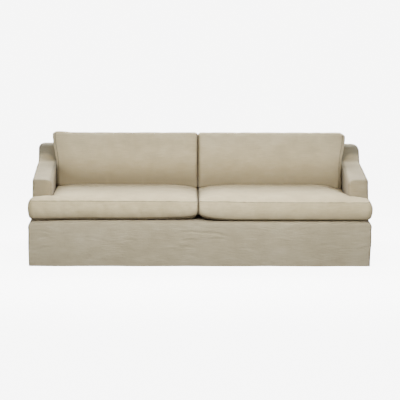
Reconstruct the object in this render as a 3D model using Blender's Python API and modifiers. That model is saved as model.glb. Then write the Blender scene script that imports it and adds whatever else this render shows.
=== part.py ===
"""Fitted slipcover of a long two-seat sofa: body cover of sewn linen panels, two seat and two back cushions.

Metres, +Z up, +X to the viewer's right, the front towards -Y. Heights are counted from the floor and
depths from the front of the skirt. The body cover is hollow and open at the hem. The world's origin is
under the middle of the cover's top, where the back of a sofa carries it.
"""

import math

import bmesh
import bpy
from mathutils import Matrix, Vector

# Body cover, side view
HEM_Z = 0.004               # hem just clear of the floor
DECK_Z = 0.343              # platform under the seat cushions
ARM_FRONT_Y = 0.200         # the arms stand back from the skirt
ARM_FRONT_Z = 0.615
ARM_BACK_Z = 0.668
BACK_FOOT_Y = 0.700         # inside back, where it meets the platform
BACK_TOP_Y = 0.785
BACK_TOP_Z = 0.802
REAR_TOP_Y = 0.955
REAR_TOP_Z = 0.776
REAR_FLOOR_Y = 0.985

# Body cover, front view
HALF_WIDTH = 1.252          # skirt, at the floor
LEAN_IN = 0.0190            # share of the width lost between the floor and the top of the back
ARM_INNER_X = 1.093
ARM_SWAY = 0.0060           # the arms' fronts sit a little to the right
ARM_SWAY_BACK = -0.0015

# Cloth and seams
CLOTH = 0.0022
SEAM_GAP = 0.0006
HEM_DEPTH = 0.010
SHARPEST = -0.92            # cosine of the sharpest turn that a seam's edge takes in full
MITRE_LIMIT = 1.0           # how much longer than the thickness the wall of a sharp seam may be
NEARLY = 1e-4

# Radii of the rounded edges
SKIRT_CORNER_R = 0.016
DECK_EDGE_R = 0.024
DECK_SIDE_R = 0.038
ARM_FACE_R = 0.018
ARM_INNER_R = 0.032
ARM_OUTER_R = 0.014
ARM_SWEEP_R = 0.050
WING_SIDE_R = 0.034
WING_TOP_R = 0.044
BACK_EDGE_R = 0.034
REAR_CORNER_R = 0.030
LARGEST_R = 0.050
EDGE_STEPS = 4

# Mesh pitch of the panels, and how near an existing point a cut may pass
CELL = Vector((0.125, 0.125, 0.085))
CUT_SNAP = 0.006

# Slack of the hanging cloth: a long and a short wave round the skirt, and a low wave of the hem
SKIRT_FULL = 0.0040         # the sides stand out most a little below the platform
SKIRT_WAVE = 0.0018
SKIRT_WAVE_LONG = 0.61
SKIRT_WAVE_SHORT = 0.27
SHORT_SHARE = 0.6
LONG_SHIFT = 0.8
HEM_WAVE = 0.0012
HEM_WAVE_HIGH = 0.15
HEM_SHIFT = 2.0

# Seat cushions
SEAT_SPLIT_X = -0.014       # the gap between them lies left of the middle
SPLIT_GAP = 0.006
TOUCH_GAP = 0.001           # half the space between two cushions that press on each other
SEAT_FRONT_Y = 0.006
SEAT_WING_X = {-1: 1.246, 1: 1.250}    # the part ahead of the arm reaches the full width
SEAT_NOTCH_Y = 0.184
SEAT_INNER_X = {-1: 1.066, 1: 1.074}
SEAT_BACK_Y = 0.690
SEAT_SEAM_Z = 0.480
SEAT_CROWN = 0.034
SEAT_BULGE = 0.011
SEAT_CORNER_LIFT = 0.020    # the lower corners beside the gap are drawn up
SEAT_LIFT_REACH = 0.085
SEAT_LIFT_HIGH = 0.7        # share of the side's height that the lift reaches
REST_GAP = 0.0005

# Back cushions
BACK_SPLIT_X = -0.017
BACK_EDGE_X = {-1: 1.102, 1: 1.097}
BACK_SQUEEZE = 0.036        # share of the width that the arms take below their top
SQUEEZE_LOW_Z = 0.720
SQUEEZE_HIGH_Z = 0.830
BACK_THICK = 0.150
BACK_HIGH = 0.390
BACK_LOW_Z = 0.478
BACK_CROWN = 0.030
BACK_BULGE = 0.015
SEAT_CLEAR = 0.003          # the back cushion's underside over the seat

# Shape of every filled cushion
TIGHTEST_R = 0.0035
SMALL_CORNER_R = 0.014
TOP_CORNER_R = 0.026
CORNER_R = 0.034
CORNER_STEPS = 3
SEAM_FOOT = 0.026           # height of the lower seam above the resting face
FOOT_INSET = 0.026
CROWN_REACH = 0.28
CROWN_POWER = 2.4
REAR_REACH = 0.20           # the seat's crown runs on under the back cushion
BORDER_CUTS = (0.022, 0.075)
SIDE_ROWS = 4
SEAT_CELL = (0.150, 0.150)
BACK_CELL = (0.150, 0.080)

# The world's origin: under the middle of the cover's top
ORIGIN = Vector((0.0, 0.870, 0.7865))

LINEN_ROUGHNESS = 0.92
TONES = {
    "front_skirt": (0.41, 0.365, 0.275),
    "seat_deck": (0.40, 0.355, 0.265),
    "inside_back": (0.38, 0.335, 0.255),
    "outside_back": (0.41, 0.365, 0.275),
    "inside_arm": (0.44, 0.395, 0.305),
    "arm_front": (0.42, 0.375, 0.285),
    "outside_arm": (0.41, 0.365, 0.275),
    "seat_cushion": (0.50, 0.455, 0.360),
    "back_cushion": (0.46, 0.415, 0.315),
}


def linen(kind):
    """One plain woven finish for a kind of piece."""
    material = bpy.data.materials.new(f"linen_{kind}")
    material.use_nodes = True
    shader = material.node_tree.nodes["Principled BSDF"]
    shader.inputs["Base Color"].default_value = (*TONES[kind], 1.0)
    shader.inputs["Roughness"].default_value = LINEN_ROUGHNESS
    shader.inputs["Metallic"].default_value = 0.0
    return material


def share_between(value, low, high):
    return min(max((value - low) / (high - low), 0.0), 1.0)


def smooth_step(value, low, high):
    share = share_between(value, low, high)
    return share * share * (3.0 - 2.0 * share)


# ---- Body cover ----------------------------------------------------------------------------------

def side_corners():
    """The named corners of the side view, as (y, z)."""
    share = (ARM_BACK_Z - DECK_Z) / (BACK_TOP_Z - DECK_Z)
    return {
        "floor": (0.0, HEM_Z),
        "deck": (0.0, DECK_Z),
        "arm_foot": (ARM_FRONT_Y, DECK_Z),
        "arm_top": (ARM_FRONT_Y, ARM_FRONT_Z),
        "arm_join": (BACK_FOOT_Y + share * (BACK_TOP_Y - BACK_FOOT_Y), ARM_BACK_Z),
        "back_foot": (BACK_FOOT_Y, DECK_Z),
        "back_top": (BACK_TOP_Y, BACK_TOP_Z),
        "rear_top": (REAR_TOP_Y, REAR_TOP_Z),
        "rear_floor": (REAR_FLOOR_Y, HEM_Z),
    }


def body_cage(panels):
    """The cover's outside as a coarse cage, open at the floor. A face's material index is its panel."""
    corners = side_corners()
    rails = {
        "wall_left": -HALF_WIDTH,
        "arm_left": -ARM_INNER_X,
        "arm_right": ARM_INNER_X,
        "wall_right": HALF_WIDTH,
    }
    cage = bmesh.new()
    points = {}

    def face(panel, *places):
        for place in places:
            if place not in points:
                rail, corner = place
                points[place] = cage.verts.new((rails[rail], *corners[corner]))
        made = cage.faces.new([points[place] for place in places])
        made.material_index = panels.index(panel)

    def strip(panel, left, right, start, end):
        face(panel, (left, start), (right, start), (right, end), (left, end))

    for left, right in (("wall_left", "arm_left"), ("arm_left", "arm_right"), ("arm_right", "wall_right")):
        strip("front_skirt", left, right, "floor", "deck")
        strip("seat_deck", left, right, "deck", "arm_foot")
        strip("inside_back", left, right, "back_top", "rear_top")
        strip("outside_back", left, right, "rear_top", "rear_floor")
    strip("seat_deck", "arm_left", "arm_right", "arm_foot", "back_foot")
    face("inside_back", ("arm_left", "back_foot"), ("arm_right", "back_foot"), ("arm_right", "arm_join"),
         ("arm_right", "back_top"), ("arm_left", "back_top"), ("arm_left", "arm_join"))

    wall = ("floor", "rear_floor", "rear_top", "back_top", "arm_join", "arm_top", "arm_foot", "deck")
    inner = ("arm_foot", "arm_top", "arm_join", "back_foot")
    for side, turn in (("left", -1), ("right", 1)):
        outer_rail, inner_rail = f"wall_{side}", f"arm_{side}"
        left, right = (outer_rail, inner_rail) if side == "left" else (inner_rail, outer_rail)
        strip(f"arm_front_{side}", left, right, "arm_foot", "arm_top")
        strip(f"inside_arm_{side}", left, right, "arm_top", "arm_join")
        strip("inside_back", left, right, "arm_join", "back_top")
        face(f"outside_arm_{side}", *[(outer_rail, corner) for corner in wall[::turn]])
        face(f"inside_arm_{side}", *[(inner_rail, corner) for corner in inner[::turn]])
    weigh_edges(cage, points)
    return cage


def weigh_edges(cage, points):
    """Gives each edge that is rounded its radius, as a share of the largest."""
    weights = cage.edges.layers.float.new("bevel_weight_edge")

    def rounded(radius, first, second):
        edge = cage.edges.get((points[first], points[second]))
        edge[weights] = radius / LARGEST_R

    rails = ("wall_left", "arm_left", "arm_right", "wall_right")
    for left, right in zip(rails, rails[1:]):
        rounded(DECK_EDGE_R, (left, "deck"), (right, "deck"))
        rounded(BACK_EDGE_R, (left, "back_top"), (right, "back_top"))
        rounded(BACK_EDGE_R, (left, "rear_top"), (right, "rear_top"))
    for side in ("left", "right"):
        wall, arm = f"wall_{side}", f"arm_{side}"
        rounded(ARM_FACE_R, (wall, "arm_top"), (arm, "arm_top"))
        rounded(ARM_SWEEP_R, (wall, "arm_join"), (arm, "arm_join"))
        rounded(ARM_FACE_R, (arm, "arm_foot"), (arm, "arm_top"))
        rounded(ARM_INNER_R, (arm, "arm_top"), (arm, "arm_join"))
        rounded(SKIRT_CORNER_R, (wall, "floor"), (wall, "deck"))
        rounded(DECK_SIDE_R, (wall, "deck"), (wall, "arm_foot"))
        rounded(ARM_FACE_R, (wall, "arm_foot"), (wall, "arm_top"))
        rounded(ARM_OUTER_R, (wall, "arm_top"), (wall, "arm_join"))
        rounded(WING_SIDE_R, (wall, "arm_join"), (wall, "back_top"))
        rounded(WING_TOP_R, (wall, "back_top"), (wall, "rear_top"))
        rounded(REAR_CORNER_R, (wall, "rear_top"), (wall, "rear_floor"))


def applied(mesh, name, modifier_type, **settings):
    """The mesh with one modifier applied."""
    holder = bpy.data.objects.new(name, mesh)
    bpy.context.scene.collection.objects.link(holder)
    modifier = holder.modifiers.new(name, modifier_type)
    for key, value in settings.items():
        setattr(modifier, key, value)
    bpy.context.view_layer.update()
    graph = bpy.context.evaluated_depsgraph_get()
    result = bpy.data.meshes.new_from_object(holder.evaluated_get(graph))
    bpy.data.objects.remove(holder)
    bpy.data.meshes.remove(mesh)
    return result


def even_places(low, high, pitch):
    """Places between two ends, at an even pitch."""
    count = max(1, round((high - low) / pitch))
    return [low + (high - low) * step / count for step in range(1, count)]


def cut_across(shape, faces, axis, places):
    """Cuts the faces by a plane at each place along one axis."""
    normal = Vector((0.0, 0.0, 0.0))
    normal[axis] = 1.0
    for place in places:
        edges = dict.fromkeys(edge for face in faces for edge in face.edges)
        points = dict.fromkeys(point for face in faces for point in face.verts)
        cut = bmesh.ops.bisect_plane(shape, geom=[*points, *edges, *faces], dist=CUT_SNAP,
                                     plane_co=normal * place, plane_no=normal)
        faces = [item for item in cut["geom"] if isinstance(item, bmesh.types.BMFace)]
    return faces


def hang(point):
    """Where a point of the straight form lies once the cloth leans in and hangs with some slack."""
    x, y, z = point
    x *= 1.0 - LEAN_IN * (z / BACK_TOP_Z) ** 2
    depth = share_between(y, ARM_FRONT_Y, BACK_TOP_Y)
    x += smooth_step(z, DECK_Z, SEAT_SEAM_Z) * (ARM_SWAY + (ARM_SWAY_BACK - ARM_SWAY) * depth)
    outer = smooth_step(abs(x), ARM_INNER_X, HALF_WIDTH)
    full = SKIRT_FULL * math.sin(math.pi * min(z / SEAT_SEAM_Z, 1.0))
    x += math.copysign(outer * full, x)
    if y < DECK_EDGE_R or y > BACK_TOP_Y:
        outward = Vector((0.0, -1.0 if y < DECK_EDGE_R else 1.0, 0.0))
    else:
        outward = Vector((math.copysign(1.0, x), 0.0, 0.0))
    turn = 2 * math.pi * (x + y)
    wave = math.sin(turn / SKIRT_WAVE_LONG + LONG_SHIFT) + SHORT_SHARE * math.sin(turn / SKIRT_WAVE_SHORT)
    loose = 1.0 - smooth_step(z, HEM_Z, DECK_Z - DECK_EDGE_R)
    hem = 1.0 - smooth_step(z, HEM_Z, HEM_Z + HEM_WAVE_HIGH)
    rise = HEM_WAVE * (1.0 + math.sin(turn / SKIRT_WAVE_LONG + HEM_SHIFT)) * hem
    return Vector((x, y, z + rise)) + outward * SKIRT_WAVE * wave * loose


def part_seam(shape):
    """Draws the edge of a panel back by half a seam gap, but for the hem."""
    moves = {}
    for edge in shape.edges:
        at_hem = max(point.co.z for point in edge.verts) < HEM_Z + HEM_DEPTH
        if at_hem or not edge.is_boundary:
            continue
        face = edge.link_faces[0]
        along = (edge.verts[1].co - edge.verts[0].co).normalized()
        inward = face.normal.cross(along)
        middle = (edge.verts[0].co + edge.verts[1].co) / 2
        if inward.dot(face.calc_center_median() - middle) < 0:
            inward = -inward
        for point in edge.verts:
            moves.setdefault(point, []).append(inward)
    for point, ways in moves.items():
        spread = ways[0].dot(ways[-1]) if len(ways) == 2 else 0.0
        point.co += sum(ways, Vector()) * (SEAM_GAP / 2) / (1.0 + max(spread, SHARPEST))


def give_thickness(panel):
    """Adds the cloth's inner face. Neighbours share its direction, so they stay a seam gap apart."""
    inward = panel.verts.layers.float_vector["inward"]
    outer = panel.faces[:]
    made = bmesh.ops.extrude_face_region(panel, geom=outer)["geom"]
    for point in made:
        if isinstance(point, bmesh.types.BMVert):
            point.co += point[inward]
    flat = {*outer, *made}
    walls = [face for face in panel.faces if face not in flat]
    bmesh.ops.triangulate(panel, faces=walls, quad_method="SHORT_EDGE")
    bmesh.ops.recalc_face_normals(panel, faces=panel.faces)


def body_panels(collection, root):
    """Rounds the cage, cuts it into cells, lets it hang and parts it into the sewn panels."""
    sided = ("inside_arm", "arm_front", "outside_arm")
    single = ("front_skirt", "seat_deck", "inside_back", "outside_back")
    panels = [*single, *[f"{kind}_{side}" for kind in sided for side in ("left", "right")]]
    cage = body_cage(panels)
    mesh = bpy.data.meshes.new("body_form")
    cage.to_mesh(mesh)
    cage.free()
    mesh = applied(mesh, "body_form", "BEVEL", limit_method="WEIGHT", width=LARGEST_R,
                   segments=EDGE_STEPS, profile=0.5, use_clamp_overlap=True, loop_slide=False)
    form = bmesh.new()
    form.from_mesh(mesh)
    bpy.data.meshes.remove(mesh)
    form.normal_update()
    for face in form.faces:
        if face.normal.z > 1.0 - NEARLY and abs(face.calc_center_median().z - DECK_Z) < NEARLY:
            face.material_index = panels.index("seat_deck")
    limits = ((-HALF_WIDTH, HALF_WIDTH), (0.0, REAR_FLOOR_Y), (HEM_Z, BACK_TOP_Z))
    for axis, (low, high) in enumerate(limits):
        cut_across(form, form.faces[:], axis, even_places(low, high, CELL[axis]))
    for point in form.verts:
        point.co = hang(point.co)
    form.normal_update()
    inward = form.verts.layers.float_vector.new("inward")
    for point in form.verts:
        point[inward] = -CLOTH * min(point.calc_shell_factor(), MITRE_LIMIT) * point.normal
    tones = {kind: linen(kind) for kind in (*single, *sided)}
    for index, name in enumerate(panels):
        panel = form.copy()
        others = [face for face in panel.faces if face.material_index != index]
        bmesh.ops.delete(panel, geom=others, context="FACES")
        part_seam(panel)
        give_thickness(panel)
        for face in panel.faces:
            face.material_index = 0
            face.smooth = True
        kind = next(kind for kind in tones if name.startswith(kind))
        finished(panel, name, tones[kind], collection, root)
    form.free()


def finished(shape, name, material, collection, root):
    """Makes the object of a finished mesh."""
    mesh = bpy.data.meshes.new(name)
    shape.to_mesh(mesh)
    shape.free()
    mesh.materials.append(material)
    piece = bpy.data.objects.new(name, mesh)
    collection.objects.link(piece)
    piece.parent = root
    return piece


# ---- Filled cushions -----------------------------------------------------------------------------

def edge_distance(x, y, outline):
    """Distance from a point to the nearest stretch of the outline."""
    nearest = math.inf
    for (ax, ay, _), (bx, by, _) in zip(outline, [*outline[1:], outline[0]]):
        length = math.hypot(bx - ax, by - ay)
        share = ((x - ax) * (bx - ax) + (y - ay) * (by - ay)) / length ** 2
        share = min(max(share, 0.0), 1.0)
        nearest = min(nearest, math.hypot(x - ax - share * (bx - ax), y - ay - share * (by - ay)))
    return nearest


def crown_height(distance, crown):
    share = min(distance / CROWN_REACH, 1.0)
    return crown * (1.0 - (1.0 - share) ** CROWN_POWER)


def cushion_cuts(corners, pitch):
    """Places to cut a cushion along one axis: close together near its borders, evenly between."""
    low, high = min(corners), max(corners)
    near = [low + step for step in BORDER_CUTS] + [high - step for step in BORDER_CUTS]
    return sorted([*near, *even_places(low + BORDER_CUTS[-1], high - BORDER_CUTS[-1], pitch)])


def rounded_outline(corners, inset=0.0):
    """The points of an outline, drawn in evenly. Each right-angled corner (x, y, radius) is an arc."""
    points = []
    places = [Vector((x, y)) for x, y, _ in corners]
    for index, corner in enumerate(places):
        back = (places[index - 1] - corner).normalized()
        ahead = (places[(index + 1) % len(places)] - corner).normalized()
        turn = 1.0 if ahead.x * back.y - ahead.y * back.x > 0 else -1.0
        radius = max(corners[index][2] - turn * inset, TIGHTEST_R)
        corner = corner + turn * inset * (back + ahead)
        centre = corner + (back + ahead) * radius
        for step in range(CORNER_STEPS + 1):
            angle = math.pi / 2 * step / CORNER_STEPS
            points.append(centre - radius * (ahead * math.cos(angle) + back * math.sin(angle)))
    return points


def filled_cushion(corners, crown_corners, height, crown, bulge, cell):
    """A filled cushion that lies on its flat face at z = 0: lower seam, boxing, upper seam, crowned face."""
    shape = bmesh.new()
    place = shape.verts.layers.int.new("place")
    seam = rounded_outline(corners)
    foot = [shape.verts.new((*point, 0.0)) for point in rounded_outline(corners, FOOT_INSET)]
    for index, point in enumerate(foot):
        point[place] = index
    bottom = shape.faces.new(foot)
    border = list(bottom.edges)
    for row in range(SIDE_ROWS + 1):
        made = bmesh.ops.extrude_edge_only(shape, edges=border)["geom"]
        border = [item for item in made if isinstance(item, bmesh.types.BMEdge) and item.is_boundary]
        for point in made:
            if isinstance(point, bmesh.types.BMVert):
                rise = SEAM_FOOT + (height - SEAM_FOOT) * row / SIDE_ROWS
                point.co = (*seam[point[place]], rise)
    bmesh.ops.edgeloop_fill(shape, edges=border)
    bmesh.ops.recalc_face_normals(shape, faces=shape.faces)
    walls = [face for face in shape.faces if face is not bottom]
    for axis in (0, 1):
        ends = [corner[axis] for corner in corners]
        walls = cut_across(shape, walls, axis, cushion_cuts(ends, cell[axis]))
    shape.normal_update()
    for point in shape.verts:
        x, y, z = point.co
        if z > height - NEARLY:
            point.co.z += crown_height(edge_distance(x, y, crown_corners), crown)
        elif z > SEAM_FOOT + NEARLY:
            share = (z - SEAM_FOOT) / (height - SEAM_FOOT)
            side = Vector((point.normal.x, point.normal.y, 0.0)).normalized()
            point.co += side * bulge * math.sin(math.pi * share)
    for face in shape.faces:
        face.smooth = True
    return shape


def press_flat(shape, side, split):
    """Flattens the side that presses on the neighbouring cushion."""
    for point in shape.verts:
        if side * (point.co.x - split) < TOUCH_GAP:
            point.co.x = split + side * TOUCH_GAP


def seat_corners(side, back_y=SEAT_BACK_Y):
    """L-shaped: the front runs the full width ahead of the arm."""
    split = SEAT_SPLIT_X + side * SPLIT_GAP
    wing, inner = side * SEAT_WING_X[side], side * SEAT_INNER_X[side]
    corners = [
        (split, SEAT_FRONT_Y, SMALL_CORNER_R),
        (wing, SEAT_FRONT_Y, CORNER_R),
        (wing, SEAT_NOTCH_Y, CORNER_R),
        (inner, SEAT_NOTCH_Y, SMALL_CORNER_R),
        (inner, back_y, CORNER_R),
        (split, back_y, SMALL_CORNER_R),
    ]
    return corners[::side]


def seat_top(x, y):
    """Height of the seat cushions' upper face."""
    side = 1 if x > SEAT_SPLIT_X else -1
    reach = seat_corners(side, SEAT_BACK_Y + REAR_REACH)
    return SEAT_SEAM_Z + crown_height(edge_distance(x, y, reach), SEAT_CROWN)


def seat_cushion(side):
    height = SEAT_SEAM_Z - DECK_Z
    reach = seat_corners(side, SEAT_BACK_Y + REAR_REACH)
    shape = filled_cushion(seat_corners(side), reach, height, SEAT_CROWN, SEAT_BULGE, SEAT_CELL)
    press_flat(shape, side, SEAT_SPLIT_X)
    for point in shape.verts:
        near = math.hypot(point.co.x - SEAT_SPLIT_X, point.co.y - SEAT_FRONT_Y)
        low = 1.0 - smooth_step(point.co.z, 0.0, height * SEAT_LIFT_HIGH)
        point.co.z += SEAT_CORNER_LIFT * low * (1.0 - smooth_step(near, 0.0, SEAT_LIFT_REACH))
    bmesh.ops.translate(shape, verts=shape.verts, vec=(0.0, 0.0, DECK_Z + REST_GAP))
    return shape


def back_corners(side):
    split = BACK_SPLIT_X + side * SPLIT_GAP
    edge = side * BACK_EDGE_X[side]
    outer_top = TOP_CORNER_R if side > 0 else SMALL_CORNER_R
    corners = [
        (split, 0.0, SMALL_CORNER_R),
        (edge, 0.0, SMALL_CORNER_R),
        (edge, BACK_HIGH, outer_top),
        (split, BACK_HIGH, SMALL_CORNER_R),
    ]
    return corners[::side]


def back_cushion(side):
    """Stands on the seat and leans on the inside back, its underside following the seat."""
    corners = back_corners(side)
    shape = filled_cushion(corners, corners, BACK_THICK, BACK_CROWN, BACK_BULGE, BACK_CELL)
    lean = math.atan2(BACK_TOP_Y - BACK_FOOT_Y, BACK_TOP_Z - DECK_Z)
    start = BACK_FOOT_Y + (BACK_LOW_Z - DECK_Z) * math.tan(lean)
    upright = Matrix.Rotation(math.radians(90.0) - lean, 4, "X")
    gap = Vector((0.0, -math.cos(lean), math.sin(lean))) * REST_GAP
    place = Matrix.Translation(Vector((0.0, start, BACK_LOW_Z)) + gap) @ upright
    bmesh.ops.transform(shape, matrix=place, verts=shape.verts)
    press_flat(shape, side, BACK_SPLIT_X)
    for point in shape.verts:
        held = 1.0 - smooth_step(point.co.z, SQUEEZE_LOW_Z, SQUEEZE_HIGH_Z)
        reach = (point.co.x - BACK_SPLIT_X) / (side * BACK_EDGE_X[side])
        point.co.x *= 1.0 - BACK_SQUEEZE * held * smooth_step(reach, 0.0, 1.0)
        point.co.z = max(point.co.z, seat_top(point.co.x, point.co.y) + SEAT_CLEAR)
    return shape


def cushions(collection, root):
    for kind, make in (("seat_cushion", seat_cushion), ("back_cushion", back_cushion)):
        tone = linen(kind)
        for name, side in (("left", -1), ("right", 1)):
            finished(make(side), f"{kind}_{name}", tone, collection, root)


def main():
    for item in list(bpy.data.objects):
        bpy.data.objects.remove(item)
    collection = bpy.data.collections.new("sofa_slipcover")
    bpy.context.scene.collection.children.link(collection)
    root = bpy.data.objects.new("slipcover_origin", None)
    root.location = -ORIGIN
    collection.objects.link(root)
    body_panels(collection, root)
    cushions(collection, root)


main()
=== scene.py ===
"""Looks of a fitted linen slipcover for a long sofa: the sewn body cover and its four filled cushions.

Metres, +Z up, the front towards -Y. Heights are counted from the floor and depths from the front of the
skirt, and FLOOR_ORIGIN is that place in the model's own frame. Where values go by side, -1 is the left.
"""

import math

import bmesh
import bpy
import numpy as np
from bpy.props import FloatProperty, FloatVectorProperty, PointerProperty
from mathutils import Matrix, Vector, kdtree, noise


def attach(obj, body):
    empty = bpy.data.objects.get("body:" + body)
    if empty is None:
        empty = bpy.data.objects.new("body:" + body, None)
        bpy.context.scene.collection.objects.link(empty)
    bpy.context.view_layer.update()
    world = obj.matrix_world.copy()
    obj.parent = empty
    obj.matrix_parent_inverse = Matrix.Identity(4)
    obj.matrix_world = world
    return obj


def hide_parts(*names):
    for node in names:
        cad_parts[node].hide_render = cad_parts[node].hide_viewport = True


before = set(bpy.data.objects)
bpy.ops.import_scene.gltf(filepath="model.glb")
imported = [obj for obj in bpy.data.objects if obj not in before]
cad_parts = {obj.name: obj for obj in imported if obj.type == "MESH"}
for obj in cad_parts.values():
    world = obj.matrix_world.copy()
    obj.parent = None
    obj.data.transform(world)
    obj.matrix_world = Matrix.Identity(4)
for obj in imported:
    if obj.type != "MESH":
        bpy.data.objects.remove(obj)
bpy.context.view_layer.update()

bl_info = {
    "name": "Linen Sofa Slipcover",
    "version": (1, 0, 0),
    "blender": (4, 5, 0),
    "location": "View3D > Sidebar > Slipcover",
    "description": "Sews a fitted linen slipcover with filled seat and back cushions",
    "category": "Object",
}

HEM_LIFT = 0.0015           # the hem hangs just clear of the floor
FLOOR_ORIGIN = Vector((0.0, -0.870, -0.7865))

# Radii of the cover's rounded edges: those that run along its length, then those in the side view, on the
# arms' inner faces and on the outer faces
ROUND_ACROSS = {"deck": 0.024, "back_top": 0.034, "rear_top": 0.034, "arm_top": 0.018, "arm_join": 0.050}
ROUND_INNER = {("arm_foot", "arm_top"): 0.052, ("arm_top", "arm_join"): 0.052}
ROUND_WALL = {
    ("floor", "deck"): 0.016,
    ("deck", "arm_foot"): 0.046,
    ("arm_foot", "arm_top"): 0.020,
    ("arm_top", "arm_join"): 0.016,
    ("arm_join", "back_top"): 0.020,
    ("back_top", "rear_top"): 0.042,
    ("rear_top", "rear_floor"): 0.030,
}
LARGEST_R = 0.060
RIGHT_SOFTER = 1.3          # the right arm's outer edges are rounder than the left's

# The panels that each stretch of the side view belongs to, in an arm's bay and in the seat's bay
ARM_BAY = (
    ("front_skirt", "floor", "deck"),
    ("seat_deck", "deck", "arm_foot"),
    ("arm_front", "arm_foot", "arm_top"),
    ("inside_arm", "arm_top", "arm_join"),
    ("inside_back", "arm_join", "back_top"),
    ("inside_back", "back_top", "rear_top"),
    ("outside_back", "rear_top", "rear_floor"),
)
SEAT_BAY = (
    ("front_skirt", "floor", "deck"),
    ("seat_deck", "deck", "arm_foot"),
    ("seat_deck", "arm_foot", "back_foot"),
    ("inside_back", "back_foot", "arm_join"),
    ("inside_back", "arm_join", "back_top"),
    ("inside_back", "back_top", "rear_top"),
    ("outside_back", "rear_top", "rear_floor"),
)
PANELS = (
    "front_skirt", "seat_deck", "inside_back", "outside_back",
    "inside_arm_left", "inside_arm_right", "arm_front_left", "arm_front_right",
    "outside_arm_left", "outside_arm_right",
)
NEARLY = 1e-4


def size(label, default, description):
    """A length that a user may change."""
    return FloatProperty(name=label, description=description, default=default, unit="LENGTH", precision=4)


def portion(label, default, description):
    return FloatProperty(name=label, description=description, default=default, subtype="FACTOR")


def amount(label, default, description):
    return FloatProperty(name=label, description=description, default=default, subtype="UNSIGNED")


def watts(label, default, description):
    return FloatProperty(name=label, description=description, default=default, unit="POWER")


def tint(label, default, description):
    return FloatVectorProperty(name=label, description=description, default=default, size=3,
                               subtype="COLOR", min=0.0, max=1.0)


class SLIPCOVER_PG_body(bpy.types.PropertyGroup):
    """Sizes of the sewn body cover."""

    deck_z: size("Platform height", 0.343, "Height of the platform under the seat cushions")
    arm_front_y: size("Arm setback", 0.200, "How far the arms stand back from the skirt")
    arm_front_z: size("Arm height, front", 0.615, "Height of the arm's top at its front")
    arm_back_z: size("Arm height, back", 0.668, "Height of the arm's top where it meets the back")
    back_foot_y: size("Back depth, low", 0.700, "Depth of the inside back at the platform")
    back_top_y: size("Back depth, high", 0.785, "Depth of the inside back at its top")
    back_top_z: size("Back height", 0.802, "Height of the back's front edge")
    rear_top_y: size("Rear depth, high", 0.955, "Depth of the outside back at its top")
    rear_top_z: size("Rear height", 0.776, "Height of the back's rear edge")
    rear_floor_y: size("Rear depth, low", 0.985, "Depth of the outside back at the hem")
    half_width: size("Half width", 1.252, "Half the cover's width at the hem")
    arm_inner_x: size("Arm's inner side", 1.106, "Distance of the arm's inner side from the middle")
    lean_in: portion("Lean in", 0.0190, "Share of the width lost between the floor and the back's top")
    arm_sway: size("Arm sway, front", 0.0060, "How far the arms' fronts sit to the right")
    arm_sway_back: size("Arm sway, back", -0.0015, "How far the arms' backs sit to the right")
    cloth: size("Cloth thickness", 0.0020, "Thickness of the linen with its turned edges")
    seam_sink: size("Seam depth", 0.0016, "How deep a sewn seam lies in the cloth")
    pucker: size("Pucker", 0.0011, "Height of the small waves beside a seam")


class SLIPCOVER_PG_cushions(bpy.types.PropertyGroup):
    """Sizes of the filled cushions."""

    seat_split_x: size("Seat gap", -0.0100, "Place of the gap between the seat cushions")
    seat_front_y: size("Seat front", 0.006, "How far the seat's front lies behind the skirt")
    seat_wing_left: size("Seat end, left", 1.246, "Reach of the left seat cushion ahead of the arm")
    seat_wing_right: size("Seat end, right", 1.250, "Reach of the right seat cushion ahead of the arm")
    seat_notch_y: size("Seat notch", 0.184, "Depth at which the seat cushion steps in beside the arm")
    seat_inner_left: size("Seat side, left", 1.089, "Reach of the left seat cushion between the arms")
    seat_inner_right: size("Seat side, right", 1.094, "Reach of the right seat cushion between the arms")
    seat_back_y: size("Seat back", 0.690, "Depth of the seat cushions' rear")
    seat_seam_z: size("Seat seam height", 0.480, "Height of the seat cushions' upper seam")
    seat_crown: size("Seat crown", 0.029, "Rise of the seat's middle over its seam")
    back_split_x: size("Back gap", -0.0105, "Place of the gap between the back cushions")
    back_edge_left: size("Back end, left", 1.100, "Reach of the left back cushion's front seam")
    back_edge_right: size("Back end, right", 1.094, "Reach of the right back cushion's front seam")
    back_thick: size("Back thickness", 0.150, "Width of the back cushions' boxing")
    back_high: size("Back cushion height", 0.3985, "Height of the back cushions along their lean")
    back_low_z: size("Back cushion foot", 0.478, "Height of the back cushions' lower edge")
    back_crown: size("Back crown", 0.030, "Rise of the back cushion's middle over its seam")
    pressure: amount("Filling pressure", 3.0, "Air pressure that plumps the covers")


class SLIPCOVER_PG_linen(bpy.types.PropertyGroup):
    """Colours and scale of the linen, and the colours of the shade and shadow painted on it."""

    flax: tint("Flax", (0.535, 0.463, 0.298), "Main colour of the linen")
    pale_thread: tint("Pale thread", (0.642, 0.567, 0.397), "Colour of the palest slubs")
    dark_thread: tint("Dark thread", (0.410, 0.345, 0.219), "Colour of the darkest slubs")
    # painted shade: the colour painted where shade falls, under and between the cushions, low on them, on the
    # arms and along the platform's front edge
    unfaded: tint("Painted shade colour", (0.300, 0.245, 0.146), "Colour of the cloth that no sun has faded")
    # painted shadow: the greyer colour of the back cushions' shadow, painted on the wings beside them and on
    # the arms' inner faces
    shaded: tint("Shaded cloth", (0.279, 0.253, 0.189), "Greyer tone of the corners beside the back cushions")
    # painted shade in the depth of the seams and along the hem
    seam_shade: tint("Seam shade", (0.190, 0.155, 0.098), "Colour in the depth of a seam")
    thread: size("Thread pitch", 0.0011, "Distance between neighbouring threads")
    slub_long: size("Slub length", 0.085, "Usual length of a slub along the weft")
    slub_thin: size("Slub thickness", 0.0042, "Usual thickness of a slub")
    crinkle_long: size("Crinkle length", 0.065, "Usual length of a small crinkle left by washing")
    crinkle_wide: size("Crinkle width", 0.013, "Usual width of such a crinkle")


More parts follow.
